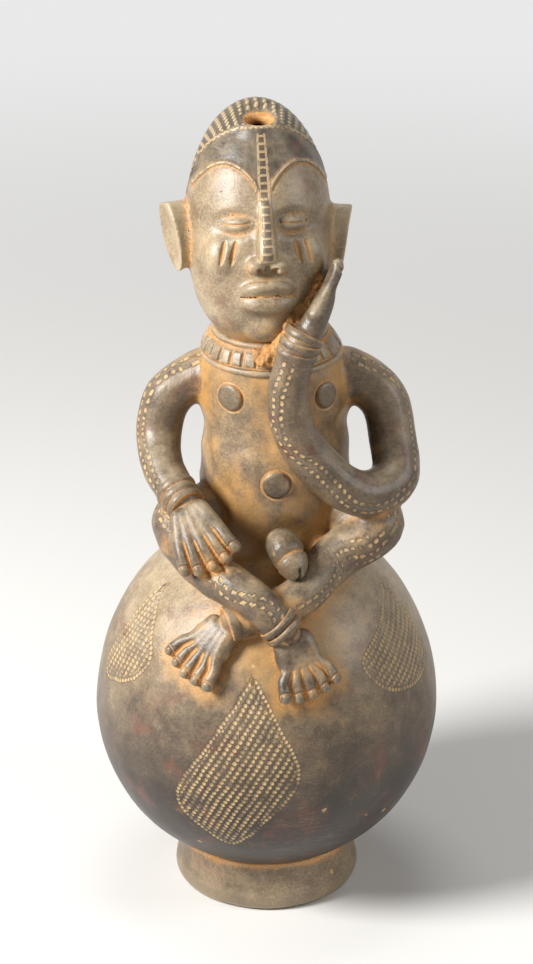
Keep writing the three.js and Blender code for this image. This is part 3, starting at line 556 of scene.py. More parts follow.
# (root, forwards, sideways, up, length, width, thickness, digit radius, digit length, droop, share where grooves start,
# size of the digits' tips)
ENDS = {
    "right_hand": ((-35.5, -40.4, 209.1), (.399, -.628, -.668), (-.895, -.108, -.433), (-.200, -.770, .605),
                   19, 25, 9, 3.0, 15.5, 3.0, 0.32, 1.2),
    "left_hand": ((20.2, -38.2, 299.0), (.375, .683, .627), (-.142, .710, -.690), (.916, -.170, -.363),
                  19, 24, 9.5, 2.6, 16, 1.0, 0.45, 0.8),
    "right_foot": ((10.9, -62, 156.2), (.355, -.406, -.842), (-.912, -.350, -.216), (.207, -.844, .494),
                   24, 27, 11, 2.9, 11, 1.5, 0.62, 1.15),
    "left_foot": ((-18.7, -57.7, 159), (-.648, -.232, -.726), (-.674, .618, .405), (-.354, -.752, .557),
                  24, 27, 10, 2.9, 11, 1.5, 0.58, 1.15),
}
ENDS = {name: (*(np.array(v, dtype=float) for v in end[:4]), *end[4:]) for name, end in ENDS.items()}
# Double lines of punched dots that wander along each limb: (share of its length, side of the limb they lie on)
WANDER = {
    "right_arm": [(0.10, (-.35, -.5, .8)), (0.3, (-.9, -.4, .2)), (0.5, (-.8, -.6, 0)), (0.68, (-.5, -.8, .1)),
                  (0.86, (-.75, -.6, .2))],
    "left_arm": [(0.06, (.3, -.5, .8)), (0.2, (.95, -.3, 0)), (0.34, (.8, -.6, 0)), (0.48, (0, -1, -.2)),
                 (0.62, (.1, -1, .1)), (0.76, (-.55, -.8, -.1)), (0.92, (-.35, -.9, 0))],
    "right_leg": [(0.3, (-.6, -.6, .5)), (0.45, (-.2, -.6, .75)), (0.58, (.35, -.6, .6)), (0.72, (-.3, -.9, .1)),
                  (0.85, (.35, -.75, .5)), (0.97, (-.4, -.9, 0))],
    "left_leg": [(0.24, (.1, -.5, .85)), (0.38, (.6, -.7, .2)), (0.5, (.1, -.9, .35)), (0.62, (.6, -.75, -.1)),
                 (0.8, (.3, -.9, 0))],
}
# Brightness, dust and painted top light, red and earth of each member's clay
TONES = {
    "torso": (0.62, 0.5, 0.4, 1.1), "right_arm": (0.52, 0.5, 0.7, 1), "left_arm": (0.5, 0.4, 0.9, 1),
    "right_leg": (0.42, 0.5, 0.8, 1), "left_leg": (0.49, 0.5, 0.8, 1), "right_hand": (0.42, 0.55, 0.4, 1),
    "left_hand": (0.42, 0.5, 0.3, 1), "right_foot": (0.38, 0.55, 0.6, 1), "left_foot": (0.5, 0.6, 0.3, 1),
}


def torso_radius(height):
    climb = held((height - SHOULDER_LINE) / (NECK_BASE - SHOULDER_LINE))
    return 17.0 + 17.0 * np.sqrt(1 - climb ** 2)


def torso_lean(height):
    return 4.0 - 0.075 * np.maximum(0, height - SHOULDER_LINE)


def torso_depth(height, front):
    fullness, middle = np.where(front, 0.08, 0.14), np.where(front, SEAT + 30, SEAT)
    swell = 1 + fullness * fading(height - middle, 20.67)
    return swell * (0.88 + 0.12 * soft_step((height - SHOULDER_LINE) / (NECK_BASE - SHOULDER_LINE)))


def follow_torso(mesh):
    """Gives a form turned about the axis the torso's depth and sideways lean."""
    points = places(mesh)
    points[:, 1] *= torso_depth(points[:, 2], points[:, 1] < 0)
    points[:, 0] += torso_lean(points[:, 2])
    move_to(mesh, points)


def torso_form(low, high, inset, name):
    heights = np.linspace(low, high, 64)
    mesh = spun([(0.0, low), *zip(torso_radius(heights) - inset, heights), (0.0, high)], 96, name)
    follow_torso(mesh)
    return mesh


def roll(line, widths, sides=6):
    """A roll of clay along a line of points, with a radius at each, rounded off at both ends."""
    curve = bpy.data.curves.new("roll", "CURVE")
    curve.dimensions, curve.bevel_depth, curve.bevel_resolution, curve.use_fill_caps = "3D", MM, sides, True
    spline = curve.splines.new("POLY")
    spline.points.add(len(line) - 1)
    for knot, place, width in zip(spline.points, line, widths):
        knot.co, knot.radius = (*(np.array(place) * MM), 1), width
    holder = bpy.data.objects.new("roll", curve)
    mesh = bpy.data.meshes.new_from_object(holder)
    bpy.data.objects.remove(holder)
    return mesh


def tapered(points, widths, count):
    """A smooth line through a few points, with radii set evenly along it and domed ends."""
    line = soft_line(points, count)
    run = run_along(line)
    radii = np.interp(run / run[-1], np.linspace(0, 1, len(widths)), widths)
    for end, distance in ((widths[0], run), (widths[-1], run[-1] - run)):
        radii = radii * np.sqrt(np.clip(1 - np.clip(1 - distance / end, 0, 0.98) ** 2, 0.02, 1))
    return line, radii


def pebble(centre, sizes, axes=np.eye(3)):
    """A flattened ball with its own half sizes and directions."""
    bm = bmesh.new()
    turned = Matrix([[*(np.array(axes)[:, i] * np.array(sizes) * MM), centre[i] * MM] for i in range(3)] + [[0, 0, 0, 1]])
    bmesh.ops.create_uvsphere(bm, u_segments=32, v_segments=20, radius=1, matrix=turned)
    bmesh.ops.recalc_face_normals(bm, faces=bm.faces)
    return mesh_of(bm, "pebble")


def shaped(mesh, kind, **settings):
    """Applies one modifier to a mesh and gives the result."""
    holder = bpy.data.objects.new("shaping", mesh)
    bpy.context.scene.collection.objects.link(holder)
    modifier = holder.modifiers.new("shape", kind)
    for key, value in settings.items():
        setattr(modifier, key, value)
    made = bpy.data.meshes.new_from_object(holder.evaluated_get(bpy.context.evaluated_depsgraph_get()))
    bpy.data.objects.remove(holder)
    return made


def carved(mesh, *cutters):
    for cutter in cutters:
        tool = bpy.data.objects.new("tool", cutter)
        bpy.context.scene.collection.objects.link(tool)
        mesh = shaped(mesh, "BOOLEAN", operation="DIFFERENCE", object=tool, solver="MANIFOLD")
        bpy.data.objects.remove(tool)
    return mesh


def fused(meshes, grain=GRAIN):
    """Wipes overlapping forms into one skin, as wet clay does."""
    bm = bmesh.new()
    for mesh in meshes:
        bm.from_mesh(mesh)
    return shaped(mesh_of(bm, "together"), "REMESH", mode="VOXEL", voxel_size=grain * MM)


def wipe(mesh, passes, where=None, keep=0.12):
    """Smooths a skin. Corners fill up, while edges that stand out lose little."""
    everything = places(mesh)
    one, two = read(mesh.edges, "vertices", 2, int).T
    where = np.ones(len(everything)) if where is None else where
    active = where > 0
    number = np.cumsum(active) - 1
    border = active[one] != active[two]
    strength = 0.6 * where
    strength[np.concatenate([one[border], two[border]])] = 0
    strength = strength[active][:, None]
    inner = active[one] & active[two]
    points = everything[active]
    average = averager(number[one[inner]], number[two[inner]], len(points))
    for step in range(passes):
        if step % 10 == 0:
            everything[active] = points
            move_to(mesh, everything)
            normals = outwards(mesh)[active]
        shift = average(points) - points
        lift = (shift * normals).sum(1)
        shift -= normals * (lift * np.where(lift < 0, 1 - keep, 0))[:, None]
        points += shift * strength
    everything[active] = points
    move_to(mesh, everything)


def off_line(points, line, radii):
    """How far points lie outside a roll, and how far along it, in millimetres."""
    best, along = np.full(len(points), 99.0), np.zeros(len(points))
    margin = max(radii) + 12
    close = np.nonzero(np.all((points > line.min(0) - margin) & (points < line.max(0) + margin), axis=1))[0]
    if len(close) < len(points):
        if len(close):
            best[close], along[close] = off_line(points[close], line, radii)
        return best, along
    run = run_along(line)
    for i in range(len(line) - 1):
        step = line[i + 1] - line[i]
        share = held(((points - line[i]) @ step) / (step @ step))
        away = np.linalg.norm(points - line[i] - share[:, None] * step, axis=1)
        away -= radii[i] + (radii[i + 1] - radii[i]) * share
        closer = away < best
        best[closer] = away[closer]
        along[closer] = (run[i] + share * (run[i + 1] - run[i]))[closer]
    return best, along


def off_torso(points):
    x = points[:, 0] - torso_lean(points[:, 2])
    y = points[:, 1] / torso_depth(points[:, 2], points[:, 1] < 0)
    beside, above = np.hypot(x, y) - torso_radius(points[:, 2]), np.maximum(points[:, 2] - NECK_TOP, 0)
    return np.hypot(beside, above) * np.sign(np.maximum(beside, above))


def off_globe(points):
    level = points[:, 2] - GLOBE_CENTRE
    rise = np.where(points[:, 2] > GLOBE_CENTRE, GLOBE_RISE, GLOBE_DEPTH)
    flat = np.hypot(points[:, 0], points[:, 1])
    size = np.hypot(flat / GLOBE_RADIUS, level / rise)
    slope = np.hypot(flat / GLOBE_RADIUS ** 2, level / rise ** 2)
    return (size - 1) * size / np.maximum(slope, 1e-6)


def digit_lines(root, ahead, side, up, length, width, thickness, radius, reach, droop, start, knob):
    """The lines of five digits, thumb or big toe first, as (points, radii, direction)."""
    found = []
    for share in np.arange(5) / 4 - 0.5:
        way = unit(ahead + side * share * 0.55)
        base = root + ahead * length * 0.75 + side * share * (width - 2 * radius)
        hollow = root + ahead * length * start + side * share * (width - 2 * radius) * 0.72 + up * 0.8
        knots = [root - ahead * 2 + side * share * 7, hollow, base + up * 0.9, base + way * reach * 0.5 + up * 0.9,
                 base + way * reach * (1.1 - share ** 2) - up * droop]
        widths = (thickness * 0.52, thickness * 0.45, radius * 1.2, radius * 1.0, radius * knob)
        found.append((*tapered(knots, widths, 30), way))
    return found


digits = {name: digit_lines(*end) for name, end in ENDS.items()}
lines = {name: tapered(knots, widths, count // 2) for name, (knots, widths, count) in LIMBS.items()}
forms = [torso_form(SEAT - 18.4, NECK_TOP, 0, "torso")] + [roll(*tapered(*limb)) for limb in LIMBS.values()]
near_ends = {}
for name, (root, ahead, side, up, length, width, thickness, _, reach, *_) in ENDS.items():
    palm = (width * 0.4, length * 0.6, thickness * 0.44)
    forms.append(pebble(root + ahead * length * 0.42, palm, (side, ahead, up)))
    forms += [roll(line, radii, 4) for line, radii, _ in digits[name]]
    near_ends[name] = tapered([root - ahead * 2, root + ahead * (length + reach)], (9, 14), 20)
hand_edge = tapered([(17.0, -40.0, 291), (21.3, -38.6, 300), (25.8, -35.3, 309), (29.4, -30.3, 318), (31.4, -26.5, 324.5)],
                    (7, 5.9, 4.6, 3.2, 1.9), 50)
cap = [point for point in globe_arc(0.55, 0, 90) if point[1] > 122][:-1]
seat = spun([(0.0, cap[0][1])] + cap + [(0.0, GLOBE_CENTRE + GLOBE_RISE - 0.55)], 110, "seat")
body = fused(forms + [roll(*hand_edge), seat])

points = places(body)
near_ends = [off_line(points, *thick_line)[0] for thick_line in near_ends.values()]
fine_work = held(np.minimum.reduce(near_ends) / 5)
figure_gap = np.minimum.reduce([off_torso(points)] + [off_line(points, *lines[name])[0] for name in LIMBS] + near_ends)
wipe(body, 90, np.where(figure_gap < 9, 0.07 + 0.93 * fine_work ** 1.5, 0))
cut_globe = spun([(0.0, GLOBE_CENTRE - GLOBE_DEPTH + 0.3)] + globe_arc(0.3, 0, 100)[1:-1]
                 + [(0.0, GLOBE_CENTRE + GLOBE_RISE - 0.3)], 110, "cut")
body = carved(body, cut_globe, torso_form(SEAT - 22, NECK_TOP + 8, TORSO_WALL, "hollow"))

# How far each point of the skin lies from each member
points, normals = places(body), outwards(body)
away, along = {"torso": off_torso(points)}, {}
for name in LIMBS:
    away[name], along[name] = off_line(points, *lines[name])
for name, (root, ahead, side, up, length, width, thickness, *_) in ENDS.items():
    ahead_of_root = (points - root) @ ahead
    palm = np.abs((points - root) @ np.array([side, up]).T) - [width * 0.5, thickness * 0.55]
    pad = np.maximum.reduce([palm[:, 0], palm[:, 1], -ahead_of_root + 1.5, ahead_of_root - length - 4])
    away[name] = np.minimum.reduce([off_line(points, line, radii)[0] for line, radii, _ in digits[name]] + [pad])
    if name == "left_hand":
        edge_gap = np.minimum(away[name], off_line(points, *hand_edge)[0])
        away[name] = np.where(ahead_of_root > 0.5, edge_gap, away[name])
names, table = list(away), np.stack(list(away.values()))
member = table.argmin(0)
on_torso = member == 0
whole_limbs = [["torso"], ["right_arm", "right_hand"], ["left_arm", "left_hand"], ["right_leg", "right_foot"],
               ["left_leg", "left_foot"]]
gaps = [np.min([away[name] for name in limb], axis=0) for limb in whole_limbs] + [off_globe(points)]
seam_gap = np.sort(np.stack(gaps), axis=0)[1]
outer_skin = off_torso(points) > -3
broad = held(sunk(body, 40) / 0.8)
joints = held(1.15 - np.abs(seam_gap) / 6) * outer_skin * (0.12 + 0.88 * broad)

# Grooves between the digits, cut deeper towards their ends, and a small round nail on each
shift, scored = np.zeros(len(points)), np.full(len(points), NO_MARK)
for name, (_, _, _, up, *_) in ENDS.items():
    gaps, shares = [], []
    for line, radii, way in digits[name]:
        gap, run = off_line(points, line, radii)
        gaps.append(gap)
        shares.append(run / np.linalg.norm(np.diff(line, axis=0), axis=1).sum())
        nail_way = unit(up * 0.85 + way * 0.55)
        flat = points - line[-4] - nail_way * radii[-5]
        across = np.cross(way, nail_way)
        ring = np.hypot(flat @ np.cross(nail_way, across) / 2.1, flat @ across / 2.0)
        faced = (normals @ nail_way > 0.2) & (np.abs(flat @ nail_way) < 2.4)
        shift += np.where(faced, 0.3 * fading(ring, 0.8, 4) - 0.35 * fading(ring - 1.2, 0.25), 0)
        scored = np.minimum(scored, np.where(faced, np.abs(ring - 1.2) * 2.3 + 0.25, NO_MARK))
    order = np.argsort(np.stack(gaps), axis=0)
    nearest, second = np.take_along_axis(np.stack(gaps), order[:2], 0)
    share = np.take_along_axis(np.stack(shares), order[:1], 0)[0]
    groove = fading(second - nearest, 0.9) * soft_step((share - 0.42) / 0.3) * (second < 2.8)
    shift -= 1.3 * groove * (normals @ up > -0.3)
    in_groove = (groove > 0.05) & (share > 0.5)
    scored = np.minimum(scored, np.where(in_groove, (second - nearest) * 0.55 + 0.1, NO_MARK))
waist = -1.5 * fading(points[:, 2] - 237, 9) + 1.3 * fading(points[:, 2] - 203, 9)
shift += np.where(on_torso & outer_skin, waist * held((seam_gap - 1) / 6), 0)
move_to(body, points + normals * shift[:, None])
press(body, 0.28, 20, 11)
press(body, 0.07, 9, 12)

dots = np.zeros((len(points), 3))
for name, stations in WANDER.items():
    line, run = lines[name][0], run_along(lines[name][0])
    share = along[name] / run[-1]
    tangent = unit(read_off(along[name], run, np.gradient(line, axis=0)))
    wander = soft_line([(s, *unit(way)) for s, way in stations], 80)
    towards = read_off(share, wander[:, 0], wander[:, 1:])
    towards = unit(towards - tangent * (towards * tangent).sum(1)[:, None])
    radial = points - read_off(along[name], run, line)
    angle = np.arctan2((radial * np.cross(tangent, towards)).sum(1), (radial * towards).sum(1))
    across = angle * np.linalg.norm(radial, axis=1)
    owned = (member == names.index(name)) & (share > stations[0][0]) & (share < stations[-1][0])
    keep = owned & (np.abs(across) < 11)
    over_knee = (name == "left_leg") & (share > 0.37) & (share < 0.47)    # a wider patch
    dots[keep] = np.stack([along[name], across + 2.15, np.abs(across) < 4.3 + 4.3 * over_knee], 1)[keep]
give(body, "dots", dots)
rings = np.min([np.abs(np.linalg.norm(points - np.array(place), axis=1) - 7.2 * size) for place, size in DISCS.values()],
               axis=0)
give(body, "grooved", np.clip(3 - np.minimum(np.where(on_torso, rings + 0.05, NO_MARK), scored), 0, 3))
low, high = soft_step((224 - points[:, 2]) / 34), soft_step((points[:, 2] - 256) / 18)
torso_stain = 0.8 * held(1 - seam_gap / 32) ** 1.3 + 0.3 * low + 0.3 * high
limb_stain = held(1 - seam_gap / 19) ** 1.4 * (0.5 + 0.5 * broad)
give(body, "stain", np.where(on_torso, torso_stain, limb_stain) * outer_skin)
find_hollows(body, depth=0.3, passes=9, joints=joints)
give(body, "lie", outwards(body))


def share_out(mesh, owner, index):
    """Takes one member's part of a skin that is common to several, and closes its hidden ends."""
    bm = bmesh.new()
    bm.from_mesh(mesh)
    bm.faces.ensure_lookup_table()
    bmesh.ops.delete(bm, geom=[face for face, own in zip(bm.faces[:], owner) if own != index], context="FACES")
    made = bmesh.ops.holes_fill(bm, edges=[edge for edge in bm.edges if edge.is_boundary], sides=0)["faces"]
    bmesh.ops.triangulate(bm, faces=made)
    part = mesh_of(bm, "part")
    lie = read(part.attributes["lie"].data, "vector", 3)
    part.attributes.remove(part.attributes["lie"])
    part.shade_smooth()
    part.normals_split_custom_set_from_vertices(lie)
    return part


def corners(mesh):
    """The points of all faces, one after another, and where each face starts in that row."""
    return read(mesh.loops, "vertex_index", kind=int), read(mesh.polygons, "loop_start", kind=int)


loops, starts = corners(body)
sums = np.stack([np.add.reduceat(row[loops], starts) for row in table])
owner = (sums / read(body.polygons, "loop_total", kind=int)).argmin(0)

# Earth lies on the globe where the limbs and feet rest on it
ground = places(globe)
sitting = [off_line(ground, *lines[name])[0] for name in ("right_leg", "left_leg")] + [off_torso(ground)]
for name in ("right_foot", "left_foot"):
    sitting += [off_line(ground, line, radii)[0] for line, radii, _ in digits[name]]
sitting = np.minimum.reduce(sitting)
crossing = np.linalg.norm((ground - np.array((2, -56, 163))) / (34, 30, 26), axis=1)
give(globe, "stain", np.maximum(held(1 - sitting / 11.5), 1.5 * fading(crossing, 1)) * globe_outside)
ground_joint = held(foot_joint * 0.9 + seat_joint * 0.6)
give(globe, "joints", np.maximum(ground_joint, 0.8 * held(1.1 - sitting / 5)) * globe_outside)
for index, name in enumerate(names):
    punches = {"dots": (3.25, 4.3, 1.12, 0.45)} if name in LIMBS else {}
    finish(share_out(body, owner, index), name, clay_material(name + "_clay", *TONES[name], **punches))

# Head: a hollow egg of clay pulled up over the neck and tilted back, with nose, lips, lids and ears pressed on. The hole
# in the crown is the jar's mouth. Hair is scored in twisted rows, and the face has raised and cut ornament lines.
HEAD_WIDE, HEAD_DEEP, HEAD_HIGH, HEAD_WALL = 32.3, 34.0, 54.0, 8.0
EYE, BROW, NOSE_BASE, MOUTH = 12.92, 7.6, -21.6, -32.1
ARC_START, ARC_SPAN, CHEEK_STROKES, HAIR_ROWS = 2.8, 26.5, (14.2, 19.0), 3.3
HAIR_EDGE = soft_line([(0, 41.2), (35, 39.4), (60, 34.5), (77, 28), (95, 13), (120, -6), (150, -17), (180, -21)], 90)
EARS = {-1: (3.8, 17, 8.2), 1: (8.0, 5, 7.0)}    # drop, turn forwards, reach


def turned(degrees, axis):
    return Matrix.Rotation(math.radians(degrees), 4, axis)


def brow_arc(turn):
    return 14.5 + 12.0 * np.sin(math.pi * turn) ** 0.75


head_pose = (Matrix.Translation((float(torso_lean(np.array(NECK_TOP + HEAD_HIGH))), 0, NECK_TOP - 13.5 + HEAD_HIGH))
             @ turned(-2, "Y") @ turned(-18, "X") @ turned(6, "Z"))
head_turn, head_centre = np.array(head_pose.to_3x3()), np.array(head_pose.translation)
hole = np.array([0, -17, HEAD_HIGH * 0.85])
hole_axis = np.array([0, math.cos(math.radians(110)), math.sin(math.radians(110))])
steps = np.linspace(0, 1, 200)
arc_slope = np.abs(np.gradient(brow_arc(np.linspace(0, 0.93, 200)), ARC_SPAN / 200))


def head_ring(height, inset=0.0):
    level = held(np.abs(height) / (HEAD_HIGH - inset))
    return np.where(height > 0, np.sqrt(1 - level ** 2), (1 - level ** 2.7) ** (1 / 2.7))


def egg(inset, name):
    heights = np.sin(np.linspace(-math.pi / 2, math.pi / 2, 90)[1:-1]) * (HEAD_HIGH - inset)
    rings = head_ring(heights, inset) * (HEAD_WIDE - inset)
    mesh = spun([(0.0, inset - HEAD_HIGH), *zip(rings, heights), (0.0, HEAD_HIGH - inset)], 110, name)
    points = places(mesh)
    points[:, 1] *= (HEAD_DEEP - inset) / (HEAD_WIDE - inset)
    move_to(mesh, points)
    return mesh


def face_point(across, up, lift=0.0):
    ring = float(head_ring(np.array(float(up))))
    return np.array([across, -(HEAD_DEEP * ring * math.sqrt(1 - min(0.98, abs(across) / (ring * HEAD_WIDE)) ** 2) + lift), up])


def ear_form(side, drop, forwards, reach):
    """A plate with a flat top, wider at its outer face than at its root, turned a little forwards."""
    bm = bmesh.new()
    bmesh.ops.create_cone(bm, cap_ends=True, segments=72, radius1=0.72, radius2=1, depth=22.4)
    for vert in bm.verts:
        across, up, out = vert.co
        vert.co = (side * (out + reach - 11.2), across * 9.6, min(up, 0.86) * 17)
    turn = Matrix.Translation((side * HEAD_WIDE, 0, -drop)) @ turned(-side * forwards, "Z") @ turned(side * 11, "Y")
    bmesh.ops.transform(bm, matrix=Matrix.Scale(MM, 4) @ turn, verts=bm.verts)
    bmesh.ops.recalc_face_normals(bm, faces=bm.faces)
    return mesh_of(bm, "ear"), np.array(turn.inverted())


def seen_from(points, back):
    return points @ back[:3, :3].T + back[:3, 3]


def measured(points):
    """Where points lie against the egg, the brow arcs, the hairline, the rows of hair and the mouth hole."""
    x, y, z = points.T
    radial = (np.hypot(x / HEAD_WIDE, y / HEAD_DEEP) - head_ring(z)) * HEAD_WIDE
    span = held((np.abs(x) - ARC_START) / ARC_SPAN)
    arc_level = brow_arc(held(span * 0.93))
    arc_gap = np.abs(z - arc_level) / np.hypot(1, np.minimum(np.interp(span, steps, arc_slope), 6))
    arc_gap = np.where((y < 0) & (np.abs(x) < 30) & (np.abs(x) > ARC_START), arc_gap, NO_MARK)
    inward = (z - np.interp(np.degrees(np.abs(np.arctan2(x, -y))), HAIR_EDGE[:, 0], HAIR_EDGE[:, 1])) * 0.8
    flat = points - hole
    bore_gap = np.linalg.norm(flat - np.outer(flat @ hole_axis, hole_axis), axis=1)
    return radial, arc_level, arc_gap, inward, np.arctan2(x, z + 14) * 56, bore_gap


def stroke(x, z, side, from_middle):
    """How far points lie beside a cut stroke on the cheek, and the share of its width at their level."""
    slim = np.sqrt(held(1 - ((z + 13) / 5.6) ** 2))
    return np.abs(x - side * (from_middle + (z + 13) * -0.22)), slim


def lid_slit(dx, z):
    return np.abs(z + 0.9 - 0.02 * dx ** 2)


def lip_line(x, z):
    return z - MOUTH + 0.2 + 0.004 * x ** 2


ridge = [face_point(0, up, lift) for up, lift in ((BROW + 3, -1.5), (BROW - 5, 0.2), (-10, 2.6), (NOSE_BASE + 3.5, 4.2))]
forms = [egg(0, "head"), roll(*tapered(ridge, (2.6, 3.1, 4.2, 5.2), 40))]
for side in (-1, 1):
    forms.append(pebble(face_point(side * 5.0, NOSE_BASE + 2.6, 2.0), (4.2, 4.4, 3.5)))
    forms.append(pebble(face_point(side * 17, -15, -6.2), (9.5, 8, 12)))
forms.append(pebble(face_point(0, MOUTH, -7.5), (15.5, 11.5, 10)))
forms.append(pebble(face_point(0, -45.5, -6.5), (10.5, 9.5, 8)))
between_lips = [face_point(share * 11.8, MOUTH - 0.3, 2.4 - 2.6 * share ** 2) for share in (-1, -0.5, 0, 0.5, 1)]
forms.append(roll(*tapered(between_lips, (1.2, 1.9, 2.2, 1.9, 1.2), 40)))
for bow, level, width in ((1.8, MOUTH + 2.3, 2.7), (-1.8, MOUTH - 2.7, 3.1)):
    lip = [face_point(share * 12.2, level * 0.25 + MOUTH * 0.75 + (level - MOUTH) * 0.75 * (1 - share ** 2) ** 0.5
                      + bow * (1 - share ** 2), 3.4 - 3.4 * share ** 2) for share in (-1, -0.72, -0.35, 0, 0.35, 0.72, 1)]
    forms.append(roll(*tapered(lip, (1.1, width * 0.85, width, width * 0.97, width, width * 0.85, 1.1), 50)))
ear_frames = {}
for side, (drop, forwards, reach) in EARS.items():
    plate, ear_frames[side] = ear_form(side, drop, forwards, reach)
    forms += [plate, pebble((side * 32.8, -6.5, -drop + 1.5), (3, 2.6, 3.4))]
neck = spun([(0.0, 279.0), (23.3, 279.0), (24.0, 283.0), (25.4, 288.0), (26.0, 294.0), (20.0, 300.0), (0.0, 300.0)], 96, "neck")
points = places(neck)
points[:, 0] += torso_lean(points[:, 2])
move_to(neck, (points - head_centre) @ head_turn)
head = fused(forms + [neck])
wipe(head, 38, keep=0.1)

# Eyes, nostrils, cheek strokes and lips
points, normals = places(head), outwards(head)
x, y, z = points.T
radial, arc_level, arc_gap, inward, across, bore_gap = measured(points)
front = soft_step((-normals[:, 1] + 0.1) / 0.3) * (y < 0)
dent = np.zeros(len(points))
for side in (-1, 1):
    dx = x - side * EYE
    dent -= 3.0 * fading(np.hypot(dx / 9.0, (z + 0.8) / 5.6), 1, 4) * front
    dent += 3.5 * fading(np.hypot(dx / 6.8, (z + 0.6) / 3.5), 1, 3) * front
    dent -= 0.6 * fading(lid_slit(dx, z), 0.7) * (np.abs(dx) < 6.6) * front
    dent -= 2.6 * fading(np.hypot((x - side * 3.3) / 1.6, (z - NOSE_BASE - 0.4) / 1.3), 1, 4) * (y < -25)
    for from_middle in CHEEK_STROKES:
        beside, slim = stroke(x, z, side, from_middle)
        dent -= 1.1 * fading(beside, 1.15 * slim + 0.01, 3) * slim * front
dent -= 0.55 * fading(lip_line(x, z), 0.8) * (np.abs(x) < 12.5) * front
dent -= 0.5 * fading(np.hypot(x / 1.6, (z - MOUTH - 7.0) / 2.6), 1) * front

# Brow arcs, from the ladder band over each eye to the temple
dent += 0.5 * fading(arc_gap, 0.9, 4)
dent -= 0.35 * fading(arc_gap - 1.5, 0.5) * (z < arc_level) * (y < 0)

# Hair: rows from front to back behind a raised rim
on_egg = np.abs(radial) < 3.5
hair = soft_step((inward - 1.4) / 0.8) * (on_egg | (z > 40))
ridges = 0.5 + 0.5 * np.cos(FULL_TURN * across / HAIR_ROWS)
dent += hair * (0.22 * ridges - 0.05) + 0.4 * fading(inward - 0.5, 0.7) * on_egg

# The mouth hole's rim is pressed in by a finger, and each ear's face is dished
rim_height = (points - hole) @ hole_axis
near_hole = (rim_height > -14) & (z > 30)
smooth_rim = np.where(near_hole, soft_step((bore_gap - 7.4) / 1.6), 1)
dent = dent * smooth_rim - np.where(near_hole, 1.7 * fading(bore_gap, 7.6, 8), 0)
for side, back in ear_frames.items():
    own = seen_from(points, back)
    spread = np.hypot(own[:, 1] / 9.6, own[:, 2] / 17)
    out_face = (np.abs(own[:, 0]) > 5) & (side * own[:, 0] > 0) & (spread < 0.9)
    dent -= np.where(out_face, 1.3 * soft_step((0.86 - spread) / 0.5), 0)
rim_middle = np.median(rim_height[near_hole & (np.abs(bore_gap - 7) < 1)])
lift = np.where(near_hole, 0.8 * soft_step((13.5 - bore_gap) / 6) * (rim_middle - rim_height), 0)
move_to(head, points + normals * dent[:, None] + hole_axis * lift[:, None])
press(head, 0.14, 22, 21)

bm = bmesh.new()
tilt = Matrix.Translation(Vector(hole * MM)) @ turned(20, "X") @ Matrix.Diagonal((1, 0.84, 1, 1))
bmesh.ops.create_cone(bm, cap_ends=True, segments=64, radius1=6.4 * MM, radius2=6.4 * MM, depth=40 * MM, matrix=tilt)
throat = torso_form(SEAT - 19.4, NECK_TOP + 8, TORSO_WALL, "throat")
move_to(throat, (places(throat) - head_centre) @ head_turn)
head = carved(head, egg(HEAD_WALL, "hollow"), mesh_of(bm, "bore"), throat)

# What is raised, cut, dark or earthy on the finished skin, and where the face gets painted light
points = places(head)
x, y, z = points.T
radial, arc_level, arc_gap, inward, across, bore_gap = measured(points)
skin = (radial > -4) | (np.abs(z) > 46)
hair = (inward > 1.6) & skin & (radial < 3.5) & ~((bore_gap < 8.2) & (z > 30))
give(head, "strands", np.stack([np.arctan2(-y, np.hypot(x, z + 14)) * 56, across, hair], 1))
band_wide = np.interp(z, (-17, 39), (2.9, 1.5))
on_band = (np.abs(x) < band_wide + 1.4) & (y < 0) & (z > -17.5) & (z < 38.5) & skin
give(head, "band", np.stack([x / band_wide, z, on_band], 1))
rim_gap = np.where(skin & (radial < 3.5), np.abs(inward - 0.5 + 0.3 * np.sin(across * 2.6)), NO_MARK)
give(head, "raised", np.clip(3 - np.minimum(np.where(skin, arc_gap, NO_MARK), rim_gap), 0, 3))
cuts = np.where((np.abs(x) < 12.5) & (y < 0), np.abs(lip_line(x, z)) * 1.2, NO_MARK)
for side in (-1, 1):
    for from_middle in CHEEK_STROKES:
        beside, slim = stroke(x, z, side, from_middle)
        cuts = np.minimum(cuts, np.where((y < 0) & (slim > 0.2), np.maximum(beside - 0.9 * slim + 0.55, 0), NO_MARK))
    dx = x - side * EYE
    cuts = np.minimum(cuts, np.where((np.abs(dx) < 7.2) & (y < 0), lid_slit(dx, z) * 1.4, NO_MARK))
give(head, "grooved", np.clip(3 - cuts, 0, 3))
dark = soft_step((z - arc_level) / 1.5) * (y < 6) * (inward < 0.5)
# Painted light: the face below the brow arcs is painted lighter towards its front
face_light = 0.18 * soft_step((arc_level - z) / 2) * soft_step((16 - y) / 24)
give(head, "shade", np.where(skin, -0.4 * dark + face_light - 0.36 * (inward > 1), 0))
bore_earth = np.where((bore_gap < 7.2) & (z > 28), 1.0, 0)
nose_joint = fading(np.hypot((np.abs(x) - 7.8) / 2.2, (z - NOSE_BASE - 1) / 4.5), 1) * (y < 0)
chin_joint = held((-47 - z) / 9) * 0.7
ear_joint = fading(np.hypot(y / 10.5, (z + 5) / 15) - 1, 0.16) * (np.abs(x) > 26) * (radial < 3) * 0.35
side_earth = soft_step((x - 12) / 14) * soft_step((-14 - z) / 16) * soft_step((6 - y) / 18)
give(head, "stain", np.where(radial < 6, 0.6 * soft_step((-38 - z) / 14) + 0.5 * side_earth, 0))
find_hollows(head, depth=0.3, passes=9, joints=held(bore_earth + nose_joint * 0.5 + chin_joint + ear_joint))

